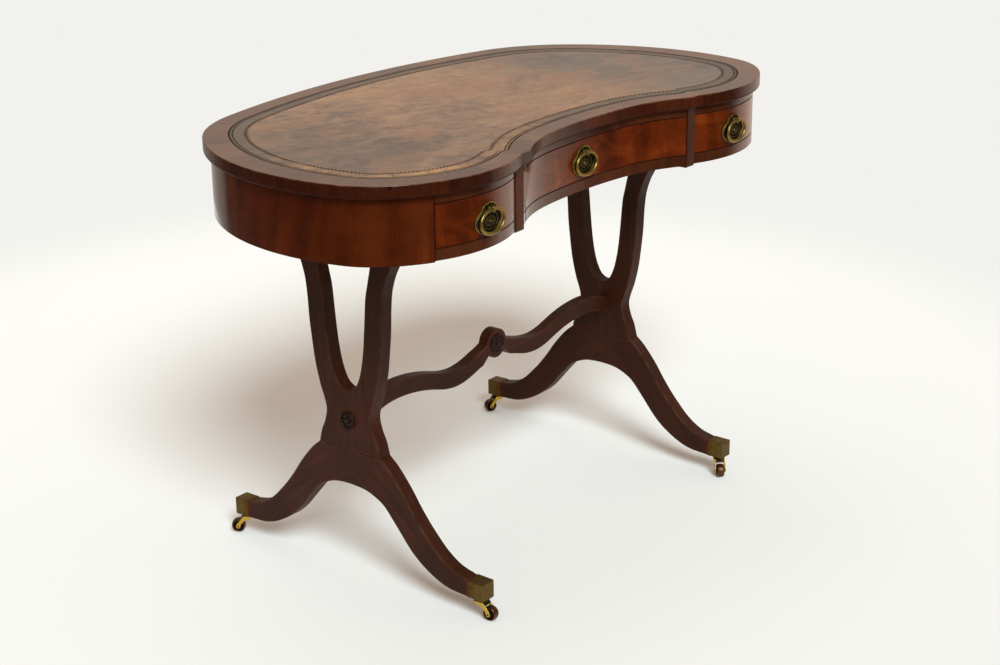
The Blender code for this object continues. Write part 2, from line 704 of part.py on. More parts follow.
shoe_back = curve_through(shoe_points(shoe_upper_shares), 3)
shoe_belly = shoe_points(shoe_lower_shares)
shoe_belly = curve_through(shoe_belly + mirrored(shoe_belly)[1:], 3)
shoe_outline = list(shoe_back) + shoe_belly + mirrored(shoe_back)
leg_end_top = shoe_back[-1].y
cap_top = TOE_UNDER + TOE_CAP_HEIGHT
tenon_half_width = TOE_CAP_WIDTH / 2 - TOE_CAP_WALL - GAP
tenon_low = TOE_UNDER + TOE_CAP_WALL + GAP
tenon_high = min(leg_end_top, cap_top - TOE_CAP_FALL) - TOE_CAP_WALL - GAP
for side, label in ((-1, "left"), (1, "right")):
    shoe_bm = upright(shoe_outline, -PEDESTAL_THICKNESS / 2, PEDESTAL_THICKNESS / 2)
    shoe = add(shoe_bm, "shoe_" + label, (side * pedestal_x, 0, 0), DARK_MAHOGANY, 60.0)
    soften(shoe, WOOD_ARRIS)
    for end, where in ((-1, "front"), (1, "back")):
        root = end * (SHOE_HALF_SPAN - TENON_LENGTH)
        tip = end * (SHOE_HALF_SPAN + TENON_LENGTH - GAP)
        tenon = guide(box((-tenon_half_width, min(root, tip), tenon_low),
                          (tenon_half_width, max(root, tip), tenon_high)),
                      "tenon_" + label + "_" + where, shoe)
        combine(shoe, tenon, "UNION")

# Turned bosses on the outer faces of the lyres and on both faces of the roundel
boss_shares = ((1.0, 0.0), (1.0, 0.28), (0.86, 0.46), (0.66, 0.40), (0.48, 0.62), (0.24, 1.0))
BOSS_POINTS = 20


def boss(radius, depth, direction, axis):
    """A shallow turned boss that stands out along an axis."""
    return turned([(radius * r, direction * depth * h) for r, h in boss_shares], axis, BOSS_POINTS)


for side, label in ((-1, "left"), (1, "right")):
    add(boss(BOSS_RADIUS, BOSS_DEPTH, side, "X"), "rosette_" + label,
        (side * (pedestal_x + PEDESTAL_THICKNESS / 2 + GAP), 0, BOSS_HEIGHT), DARK_MAHOGANY)
for side, label in ((-1, "front"), (1, "back")):
    add(boss(ROUNDEL_BOSS_RADIUS, ROUNDEL_BOSS_DEPTH, side, "Y"), "roundel_" + label,
        (0, side * (STRETCHER_THICKNESS / 2 + GAP) - STRETCHER_FORWARD, ROUNDEL_HEIGHT), DARK_MAHOGANY)

# Stretcher: its centre line in shares of the half length and of the height from dip to crest
wave_shares = (
    (0.111, 0.594), (0.158, 0.425), (0.210, 0.218), (0.257, 0.080), (0.307, 0.005), (0.355, 0.015),
    (0.409, 0.120), (0.453, 0.274), (0.511, 0.500), (0.560, 0.670), (0.613, 0.810), (0.672, 0.925),
    (0.745, 0.995), (0.810, 0.980), (0.870, 0.880), (0.935, 0.660), (1.000, 0.390),
)
stretcher_half = pedestal_x - PEDESTAL_THICKNESS / 2 - GAP
wave_height = STRETCHER_CREST - STRETCHER_DIP
wave = [Vector((stretcher_half * x, STRETCHER_DIP + wave_height * h)) for x, h in wave_shares]
wave = curve_through(wave, 2)
upper_edge = [Vector((p.x, p.y + STRETCHER_BAND / 2)) for p in wave]
lower_edge = [Vector((p.x, p.y - STRETCHER_BAND / 2)) for p in wave]
# The roundel's rim stands up between the two bands and hangs level with them below
rim_start = math.radians(8)
rim_points = 8
roundel_top = []
for index in range(rim_points + 1):
    angle = rim_start + (math.pi / 2 - rim_start) * index / rim_points
    roundel_top.append(Vector((ROUNDEL_RADIUS * math.cos(angle),
                               ROUNDEL_HEIGHT + ROUNDEL_RADIUS * math.sin(angle))))
roundel_low = []
for index in range(5):
    angle = -math.pi / 2 + (math.pi / 2 - math.radians(38)) * index / 4
    roundel_low.append(Vector((ROUNDEL_RADIUS * math.cos(angle),
                               ROUNDEL_HEIGHT + ROUNDEL_RADIUS * math.sin(angle))))
right_half = roundel_low + lower_edge + list(reversed(upper_edge)) + roundel_top
stretcher_outline = right_half + mirrored(right_half)[1:-1]
near_y = -STRETCHER_FORWARD - STRETCHER_THICKNESS / 2
far_y = -STRETCHER_FORWARD + STRETCHER_THICKNESS / 2
stretcher = add(lengthwise(stretcher_outline, near_y, far_y), "stretcher", (0, 0, 0), DARK_MAHOGANY, 60.0)
soften(stretcher, WOOD_ARRIS)

# Toe caps and castors. Each castor trails its own way at rest, in degrees from +X
castor_rest_degrees = {
    ("left", "front"): -83.0,
    ("left", "back"): 127.0,
    ("right", "front"): 222.0,
    ("right", "back"): 150.0,
}
# Side view of the fork in (along the trail, height): a curved horn from crown to eye, front and back edge
horn_back_shares = ((0.42, 1.00), (0.52, 0.90), (0.66, 0.74), (0.92, 0.47), (1.12, 0.26), (1.21, 0.10))
horn_front_shares = (
    (-0.52, 1.00), (-0.44, 0.84), (-0.18, 0.69), (0.13, 0.62), (0.38, 0.50), (0.60, 0.30), (0.73, 0.13),
)
EYE_POINTS = 10
STEM_POINTS = 14
for (label, where), rest in castor_rest_degrees.items():
    side_x = pedestal_x if label == "right" else -pedestal_x
    end = 1 if where == "back" else -1
    name = label + "_" + where
    # Cap: a cup on the leg's end, solid where the stem turns in it
    near = end * (SHOE_HALF_SPAN + GAP)
    far = end * (SHOE_HALF_SPAN + TOE_CAP_LENGTH)
    half = TOE_CAP_WIDTH / 2
    cap_side = [Vector((near, TOE_UNDER)), Vector((far, TOE_UNDER)),
                Vector((far, cap_top - TOE_CAP_FALL)), Vector((near, cap_top))]
    cap_bm = upright(cap_side, -half, half)
    bmesh.ops.recalc_face_normals(cap_bm, faces=cap_bm.faces)
    bmesh.ops.bevel(cap_bm, geom=cap_bm.edges[:], offset=TOE_CAP_ARRIS, segments=1, affect="EDGES")
    cap = add(cap_bm, "toe_cap_" + name, (side_x, 0, 0), OLD_BRASS)
    cavity_far = end * (SHOE_HALF_SPAN + TENON_LENGTH)
    cavity_near = near - end * CUT_OVERRUN
    cavity = guide(box((-half + TOE_CAP_WALL, min(cavity_far, cavity_near), tenon_low - GAP),
                       (half - TOE_CAP_WALL, max(cavity_far, cavity_near), tenon_high + GAP)),
                   "cavity_" + name, cap)
    combine(cap, cavity, "DIFFERENCE")
    socket = guide(turned(((STEM_RADIUS + GAP, TOE_UNDER - CUT_OVERRUN),
                           (STEM_RADIUS + GAP, TOE_UNDER + STEM_LENGTH + GAP)),
                          "Z", STEM_POINTS), "socket_" + name, cap)
    socket.location = (0, end * CASTOR_Y, 0)
    combine(cap, socket, "DIFFERENCE")
    # Fork: cut from one block along its trail, then joined to its collar and stem
    eye_z = WHEEL_RADIUS
    crown_top = COLLAR_UNDER + GAP
    rise = crown_top - eye_z
    horn = [Vector((CASTOR_TRAIL * share, eye_z + rise * lift)) for share, lift in horn_front_shares]
    horn = curve_through(horn, 2)
    eye = []
    for index in range(EYE_POINTS + 1):
        angle = math.radians(190) + math.radians(190) * index / EYE_POINTS
        eye.append(Vector((CASTOR_TRAIL + FORK_EYE_RADIUS * math.cos(angle),
                           eye_z + FORK_EYE_RADIUS * math.sin(angle))))
    back = [Vector((CASTOR_TRAIL * share, eye_z + rise * lift)) for share, lift in reversed(horn_back_shares)]
    fork_outline = horn + eye + curve_through(back, 2)
    fork_bm = lengthwise(fork_outline, -FORK_WIDTH / 2, FORK_WIDTH / 2)
    fork = add(fork_bm, "fork_" + name, (side_x, end * CASTOR_Y, 0), BRIGHT_BRASS)
    fork.rotation_euler = (0, 0, math.radians(rest))
    slot = guide(box((-FORK_WIDTH, -FORK_SLOT_HALF, -CUT_OVERRUN),
                     (FORK_WIDTH * 2, FORK_SLOT_HALF, FORK_CROWN_UNDER)),
                 "slot_" + name, fork)
    combine(fork, slot, "DIFFERENCE")
    stem = guide(turned(((COLLAR_RADIUS, COLLAR_UNDER), (COLLAR_RADIUS, FORK_TOP), (STEM_RADIUS, FORK_TOP),
                         (STEM_RADIUS, FORK_TOP + STEM_LENGTH)), "Z", STEM_POINTS), "stem_" + name, fork)
    combine(fork, stem, "UNION")
    pin_hole = guide(turned(((AXLE_RADIUS + GAP, -FORK_WIDTH), (AXLE_RADIUS + GAP, FORK_WIDTH)), "Y", 12),
                     "pin_hole_" + name, fork)
    pin_hole.location = (CASTOR_TRAIL, 0, eye_z)
    combine(fork, pin_hole, "DIFFERENCE")
    # Axle and wheel on the fork's eye
    heading = Vector((math.cos(math.radians(rest)), math.sin(math.radians(rest)), 0))
    hub = Vector((side_x, end * CASTOR_Y, eye_z)) + heading * CASTOR_TRAIL
    pin_half = FORK_WIDTH / 2 + AXLE_PROUD
    axle = add(turned(((AXLE_RADIUS, -pin_half), (AXLE_RADIUS, pin_half)), "Y", 12),
               "axle_" + name, hub, BRIGHT_BRASS)
    axle.rotation_euler = fork.rotation_euler
    tread = WHEEL_TREAD / 2
    hub_half = FORK_SLOT_HALF - GAP
    near_side = [
        (AXLE_RADIUS + GAP, -hub_half),
        (WHEEL_HUB_RADIUS, -hub_half),
        (WHEEL_HUB_RADIUS, -tread + WHEEL_DISH),
        (WHEEL_RADIUS - WHEEL_RIM, -tread + WHEEL_DISH),
        (WHEEL_RADIUS - WHEEL_RIM, -tread),
        (WHEEL_RADIUS - WHEEL_ARRIS, -tread),
        (WHEEL_RADIUS, -tread + WHEEL_ARRIS),
    ]
    profile = near_side + [(radius, -across) for radius, across in reversed(near_side)]
    wheel_bm = bmesh.new()
    loops = []
    WHEEL_POINTS = 18
    for radius, across in profile:
        loop = []
        for index in range(WHEEL_POINTS):
            angle = 2 * math.pi * index / WHEEL_POINTS
            loop.append(wheel_bm.verts.new((radius * math.sin(angle), across, -radius * math.cos(angle))))
        loops.append(loop)
    for index in range(len(loops)):
        lower = loops[index]
        upper = loops[(index + 1) % len(loops)]
        for turn in range(WHEEL_POINTS):
            after = (turn + 1) % WHEEL_POINTS
            wheel_bm.faces.new((lower[turn], lower[after], upper[after], upper[turn]))
    wheel = add(wheel_bm, "wheel_" + name, hub, BRONZE)
    wheel.rotation_euler = fork.rotation_euler

# The whole desk hangs on one empty that brings its overall middle to the origin
front_reach = min(min(p.y for p in plan_ring(0.0)),
                  front_y(FRIEZE_INSET, handle_end_x) - RING_STANDOFF - eye_radius)
desk = bpy.data.objects.new("desk", None)
desk.location = (0, -(BACK_REACH + front_reach) / 2, 0)
bpy.context.collection.objects.link(desk)
for body in parts:
    body.parent = desk
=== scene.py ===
"""Kidney shaped writing desk: its veneers, leather, carving and brass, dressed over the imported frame."""
import math

import bmesh
import bpy
from mathutils import Matrix, Vector


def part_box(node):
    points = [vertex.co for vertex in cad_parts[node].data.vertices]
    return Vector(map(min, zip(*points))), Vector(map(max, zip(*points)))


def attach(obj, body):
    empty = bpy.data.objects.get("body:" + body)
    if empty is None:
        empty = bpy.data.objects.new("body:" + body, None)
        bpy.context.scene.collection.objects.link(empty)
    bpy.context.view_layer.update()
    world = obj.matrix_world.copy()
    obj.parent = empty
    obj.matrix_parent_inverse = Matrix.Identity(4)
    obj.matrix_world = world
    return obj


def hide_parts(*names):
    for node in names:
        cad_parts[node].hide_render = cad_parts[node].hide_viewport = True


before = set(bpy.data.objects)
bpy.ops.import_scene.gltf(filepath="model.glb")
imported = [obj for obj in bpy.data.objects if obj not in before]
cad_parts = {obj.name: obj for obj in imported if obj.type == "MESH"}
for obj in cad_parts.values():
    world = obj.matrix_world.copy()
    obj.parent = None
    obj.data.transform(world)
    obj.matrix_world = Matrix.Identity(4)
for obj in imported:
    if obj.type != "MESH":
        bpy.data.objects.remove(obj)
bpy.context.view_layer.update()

# Top board: one kidney shaped board, veneered in mahogany and crossbanded round its edge. Both
# arrises are rounded, and a shallow bed is cut in it for the leather. Its plan is tangent arcs.
back_reach = 0.318
outer_arcs = ((1.43, 13.5), (0.25, 36.5), (0.398, 54.5), (0.138, 28.5), (0.229, 73.0))
hollow_reach = 0.2165
hollow_arcs = ((0.85, 7.5), (0.26, 27.0))
plan_step = 0.004
plan_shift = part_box("top_board")[1].y - back_reach
top_under, top_height = 0.7215, 0.7425
lower_round, upper_round = 0.0026, 0.0013
leather_border, leather_end_border = 0.036, 0.0455
bed_depth = 0.0018
veneer_strips_per_metre = 11.0
knot_place = (-0.5045, -0.2425, 0.7390)


def arc_run(start_y, arcs, inset, side):
    """Points along tangent arcs from (0, start_y), heading +X and turning right."""
    points = []
    cursor = Vector((0.0, start_y))
    heading = 0.0
    for radius, turn in arcs:
        sweep = math.radians(turn)
        count = max(2, math.ceil(sweep * radius / plan_step))
        centre = cursor - Vector((-math.sin(heading), math.cos(heading))) * radius
        for step in range(1 if points else 0, count + 1):
            angle = heading - sweep * step / count
            points.append(centre + Vector((-math.sin(angle), math.cos(angle))) * (radius - side * inset))
        heading -= sweep
        cursor = centre + Vector((-math.sin(heading), math.cos(heading))) * radius
    return points


def outer_run(inset):
    """Right half of the outline, from the middle of the back round the end to the stile."""
    return arc_run(back_reach + plan_shift, outer_arcs, inset, 1)


def hollow_run(inset):
    """Right half of the hollow front, from its middle to the stile."""
    return arc_run(plan_shift - hollow_reach, hollow_arcs, inset, -1)


def mirrored(points):
    """The same points on the other side of the middle, in reverse order."""
    return [Vector((-p.x, p.y)) for p in reversed(points)]


def plan_ring(inset):
    """The whole outline of the top, moved inward."""
    right = outer_run(inset) + list(reversed(hollow_run(inset)))
    return right + mirrored(right)[1:-1]


def lengths_along(points, closed=False):
    """How far along the line each point lies, in metres, with the start again at the end if closed."""
    run = [0.0]
    for first, second in zip(points, points[1:] + (points[:1] if closed else [])):
        run.append(run[-1] + (second - first).length)
    return run


half_length = max(p.x for p in plan_ring(0.0))
leather_stretch = (half_length - leather_end_border) / (half_length - leather_border)


def leather_ring(extra):
    """The outline of the leather's bed, moved inward."""
    return [Vector((p.x * leather_stretch, p.y)) for p in plan_ring(leather_border + extra)]


def rounded(radius, steps):
    """(in from the side, in from the face) along a rounded arris, from the face to the side."""
    angles = [math.radians(90 * step / steps) for step in range(steps + 1)]
    return [(radius * (1 - math.sin(angle)), radius * (1 - math.cos(angle))) for angle in angles]


def object_from(bm, name):
    """A new object with the mesh that was worked up."""
    mesh = bpy.data.meshes.new(name)
    bm.to_mesh(mesh)
    bm.free()
    return bpy.data.objects.new(name, mesh)


def shell(name, rings, around, across, marks=None, swapped=False, looped=False):
    """A closed body through rings of points, the last joined to the first if looped. Its grain map
    holds (around, across) in metres, or the other way round if swapped. A mark gives each point a
    value from (ring number, point number)."""
    bm = bmesh.new()
    grain = bm.loops.layers.uv.new("grain")
    layers = {label: bm.verts.layers.float.new(label) for label in (marks or {})}
    loops = []
    for number, ring in enumerate(rings):
        loop = [bm.verts.new(point) for point in ring]
        for label, layer in layers.items():
            for index, vert in enumerate(loop):
                vert[layer] = marks[label](number, index)
        loops.append(loop)
    count = len(loops[0])
    for number in range(len(loops) if looped else len(loops) - 1):
        near, far = loops[number], loops[(number + 1) % len(loops)]
        for index in range(count):
            after = (index + 1) % count
            face = bm.faces.new((near[index], near[after], far[after], far[index]))
            places = ((index, number), (index + 1, number), (index + 1, number + 1), (index, number + 1))
            for corner, (u, v) in zip(face.loops, places):
                corner[grain].uv = (across[v], around[u]) if swapped else (around[u], across[v])
    ends = () if looped else ((0, loops[0][::-1]), (len(loops) - 1, loops[-1]))
    for number, end in ends:
        order = {vert: index for index, vert in enumerate(loops[number])}
        for corner in bm.faces.new(end).loops:
            u, v = around[order[corner.vert]], across[number]
            corner[grain].uv = (v, u) if swapped else (u, v)
    bmesh.ops.recalc_face_normals(bm, faces=bm.faces)
    body = object_from(bm, name)
    bpy.context.collection.objects.link(body)
    return body


def polish(body, material, sharp_angle=40.0, arris=0.0, arris_steps=2):
    """Smooth shading that keeps the flats flat, rounded arrises if asked, and the material."""
    body.data.shade_smooth()
    body.data.set_sharp_from_angle(angle=math.radians(sharp_angle))
    if arris:
        edge = body.modifiers.new("arris", "BEVEL")
        edge.width = arris
        edge.segments = arris_steps
        edge.limit_method = "ANGLE"
        edge.angle_limit = math.radians(35)
    flats = body.modifiers.new("flats", "WEIGHTED_NORMAL")
    flats.keep_sharp = True
    body.data.materials.clear()
    body.data.materials.append(material)
    return body


def fit(body, rides, slot, *nodes):
    """Sets a finished piece on the part of the desk that carries it."""
    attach(body, rides)
    if nodes:
        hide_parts(*nodes)


class Shade:
    """A value that varies over a surface. Sums on it add the Math nodes that work it out."""

    def __init__(self, recipe, socket):
        self.recipe = recipe
        self.socket = socket

    def __add__(self, other):
        return self.recipe.sum("ADD", self, other)

    def __sub__(self, other):
        return self.recipe.sum("SUBTRACT", self, other)

    def __rsub__(self, other):
        return self.recipe.sum("SUBTRACT", other, self)

    def __mul__(self, other):
        return self.recipe.sum("MULTIPLY", self, other)

    __radd__ = __add__
    __rmul__ = __mul__


class Recipe:
    """The nodes of one finish or of one pattern of pieces."""

    def __init__(self, tree):
        self.tree = tree

    def feed(self, node, sockets):
        """Gives sockets of a node their values or links."""
        for name, value in sockets.items():
            if isinstance(value, Shade):
                self.tree.links.new(value.socket, node.inputs[name])
            else:
                node.inputs[name].default_value = value

    def node(self, kind, settings=None, sockets=None, out=0):
        """Adds a node: its settings first, then the values or links of its sockets."""
        made = self.tree.nodes.new(kind)
        for setting, value in (settings or {}).items():
            if setting == "stops":
                steps = made.color_ramp.elements
                steps.remove(steps[-1])
                steps[0].position, steps[0].color = value[0]
                for place, colour in value[1:]:
                    steps.new(place).color = colour
            else:
                setattr(made, setting, value)
        self.feed(made, sockets or {})
        return Shade(self, made.outputs[out]) if made.outputs else made

    def sum(self, operation, first, second):
        return self.node("ShaderNodeMath", {"operation": operation}, {0: first, 1: second})

    def ramp(self, value, low, high):
        """0 at low, 1 at high and smooth between."""
        return self.node("ShaderNodeMapRange", {"interpolation_type": "SMOOTHSTEP"},
                         {"Value": value, "From Min": low, "From Max": high})

    def near(self, value, middle, reach):
        """1 where the value is at the middle, and 0 beyond the reach."""
        return self.ramp(self.sum("ABSOLUTE", value - middle, 0.0), reach, reach * 0.35)

    def noise(self, at, scale, detail=3.0, roughness=0.5, distortion=0.0, turn=(0.0, 0.0, 0.0)):
        """Cloudy noise at one scale, or at a scale for each axis, which draws it out along the grain."""
        if isinstance(scale, tuple):
            at, scale = self.stretched(at, scale, turn), 1.0
        return self.node("ShaderNodeTexNoise", {}, {"Vector": at, "Scale": scale, "Detail": detail,
                                                    "Roughness": roughness, "Distortion": distortion})

    def cells(self, feature, sockets, dimensions="3D", out=0):
        """A pattern of cells, by the distance to their middles (F1) or to their edges."""
        return self.node("ShaderNodeTexVoronoi", {"voronoi_dimensions": dimensions, "feature": feature},
                         sockets, out)

    def stretched(self, at, scale, turn=(0.0, 0.0, 0.0), shift=(0.0, 0.0, 0.0)):
        """The same place on a surface, with a pattern's axes stretched, turned and moved."""
        return self.node("ShaderNodeMapping", {}, {"Vector": at, "Scale": scale, "Rotation": turn,
                                                   "Location": shift})

    def blend(self, share, under, over):
        """One colour laid over another."""
        return self.node("ShaderNodeMix", {"data_type": "RGBA", "clamp_factor": True},
                         {0: share, 6: under, 7: over}, out=2)

    def hues(self, level, *stops):
        """Colours that a level runs through, from (level, colour) stops."""
        return self.node("ShaderNodeValToRGB", {"stops": stops}, {0: level})

    def parts(self, at):
        """The x, y and z of a place."""
        split = self.node("ShaderNodeSeparateXYZ", {}, {0: at}).socket.node
        return [Shade(self, output) for output in split.outputs]

    def grain_map(self):
        """(along, across) from the piece's own map, in metres."""
        return self.node("ShaderNodeUVMap", {"uv_map": "grain"})

    def place(self):
        """Where a point of the piece is, in metres."""
        return self.node("ShaderNodeTexCoord", {}, {}, out=3)

    def mark(self, name):
        """A value that the piece's own points carry."""
        return self.node("ShaderNodeAttribute", {"attribute_name": name}, {}, out=2)


def finish(name):
    """A new material with the recipe of its nodes."""
    material = bpy.data.materials.new(name)
    material.use_nodes = True
    return material, Recipe(material.node_tree)


def surface(material, recipe, colour, roughness, relief=None, height=0.0, fixed=None):
    """Sends the colour, roughness and relief of a recipe to the material's shader."""
    sockets = {"Base Color": colour, "Roughness": roughness}
    if relief is not None:
        sockets["Normal"] = recipe.node("ShaderNodeBump", {}, {"Strength": 1.0, "Distance": height,
                                                               "Height": relief})
    recipe.feed(material.node_tree.nodes["Principled BSDF"], {**sockets, **(fixed or {})})


def tone(red, green, blue):
    """A colour written as it is seen, from 0 to 255, as the light that it gives back."""
    def light(level):
        level /= 255
        return level / 12.92 if level <= 0.04045 else ((level + 0.055) / 1.055) ** 2.4
    return (light(red), light(green), light(blue), 1.0)


def top_finish():
    """Crossbanded mahogany: the grain runs in from the edge, in strips of veneer laid side by side."""
    material, wood = finish("top_crossbanding")
    at = wood.grain_map()
    along, inward, _ = wood.parts(at)
    on_top = wood.ramp(inward, -0.0012, 0.0004)
    strips = {"W": along, "Scale": veneer_strips_per_metre, "Randomness": 0.6}
    strip, _, _ = wood.parts(wood.cells("F1", strips, "1D", out=1))
    joint = wood.cells("DISTANCE_TO_EDGE", strips, "1D")
    figure = wood.noise(at, (90.0, 14.0, 1.0), 4.0, 0.6, 0.6)
    fibres = wood.noise(at, (1500.0, 60.0, 1.0), 3.0, 0.6)
    clouds = wood.noise(at, (7.0, 11.0, 1.0), 3.0, 0.55)
    level = figure * 0.5 + clouds * 0.35 + strip * 0.22 + fibres * 0.16 - 0.12
    colour = wood.hues(level, (0.28, tone(68, 34, 11)), (0.50, tone(94, 51, 22)), (0.74, tone(116, 69, 34)))
    # Painted shade: the upright edge and the underside take darker hues of the same figure.
    shaded_edge_colour = wood.hues(level, (0.28, tone(38, 9, 0)), (0.50, tone(58, 19, 2)), (0.74, tone(80, 32, 8)))
    colour = wood.blend(on_top, shaded_edge_colour, colour)
    pores = wood.ramp(wood.noise(at, (2600.0, 210.0, 1.0), 2.0, 0.5), 0.66, 0.72)
    colour = wood.blend(pores * 0.35, colour, tone(30, 11, 6))
    colour = wood.blend(wood.ramp(joint, 0.004, 0.001) * 0.5, colour, tone(34, 12, 7))
    # Painted shade of the gap at the bed's edge: a dark line on the wood beside the leather, which also
    # carries less polish.
    leather_side = wood.ramp(inward, leather_border - 0.0022, leather_border - 0.0004)
    colour = wood.blend(leather_side * 0.85, colour, tone(24, 12, 8))
    # Arrises painted paler: rubbed wear, and a painted highlight along them.
    worn_and_highlit = wood.mark("wear") * wood.ramp(wood.noise(wood.place(), 60.0, 3.0), 0.40, 0.66)
    colour = wood.blend(worn_and_highlit * 0.35, colour, tone(124, 76, 50))
    # Painted shade under the overhang: the underside and lower arris are darkened further, and carry less
    # polish.
    underneath = wood.ramp(inward, -0.0170, -0.0192)
    colour = wood.blend(underneath * 0.5, colour, tone(34, 13, 6))
    knot = wood.node("ShaderNodeVectorMath", {"operation": "DISTANCE"},
                     {0: wood.place(), 1: knot_place}, out=1)
    colour = wood.blend(wood.ramp(knot, 0.0044, 0.0022) * 0.9, colour, tone(22, 9, 5))
    smudge = wood.noise(wood.place(), 16.0, 4.0, 0.6)
    polished = 0.85 - wood.sum("MAXIMUM", underneath, leather_side) * 0.75
    surface(material, wood, colour, smudge * 0.20 + 0.40, fibres * 0.4 - pores * 0.6, 0.00008,
            {"Specular IOR Level": 0.06, "Coat Weight": polished - smudge * 0.15,
             "Coat Roughness": 0.24, "Coat IOR": 1.5})
    return material


# The board's section, from its underside round the edge to the bed: (in from the edge, height, place on
# the grain map, wear and highlight: how far an arris is painted paler, for rubbed wear and a painted
# highlight).
top_section = [(0.05, top_under, -0.071, 0.0), (0.008, top_under, -0.029, 0.0)]
for inset, rise in rounded(lower_round, 6):
    inward = top_under + rise - top_height + min(inset, upper_round) if rise else -0.0216
    top_section.append((inset, top_under + rise, inward, 0.2))
for z in (top_under + lower_round + 0.0022, top_height - upper_round - 0.0016):
    top_section.append((0.0, z, z - top_height, 0.0))
for inset, drop in reversed(rounded(upper_round, 4)):
    top_section.append((inset, top_height - drop, inset - drop, 1.0))
top_section += [(inset, top_height, inset, 0.0) for inset in (0.0030, 0.012, 0.020, 0.028)]
top_rings = [[(p.x, p.y, z) for p in plan_ring(inset)] for inset, z, _, _ in top_section]
bed_section = ((-0.0012, top_height), (-0.0003, top_height - 0.0001), (0.0, top_height - 0.0004),
               (0.0, top_height - bed_depth), (0.006, top_height - bed_depth))
for extra, z in bed_section:
    top_section.append((leather_border + extra, z, leather_border + extra, 0.0))
    top_rings.append([(p.x, p.y, z) for p in leather_ring(extra)])
top_board = shell("top_board_veneered", top_rings, lengths_along(plan_ring(leather_border / 2), True),
                  [inward for _, _, inward, _ in top_section],
                  {"wear": lambda number, index: top_section[number][3]})
polish(top_board, top_finish())
fit(top_board, "desk", "top_veneer", "top_board")

# Leather: a hide panel in a border of separate strips, glued in the bed. Their edges are tooled
# with a fillet line, and a rope pattern is rolled along the seam between panel and border.
leather_top = top_height - 0.0001
rope_inward, rope_pitch = 0.0270, 0.0074
fillet_inward = 0.0056
border_strips_per_metre = 3.2


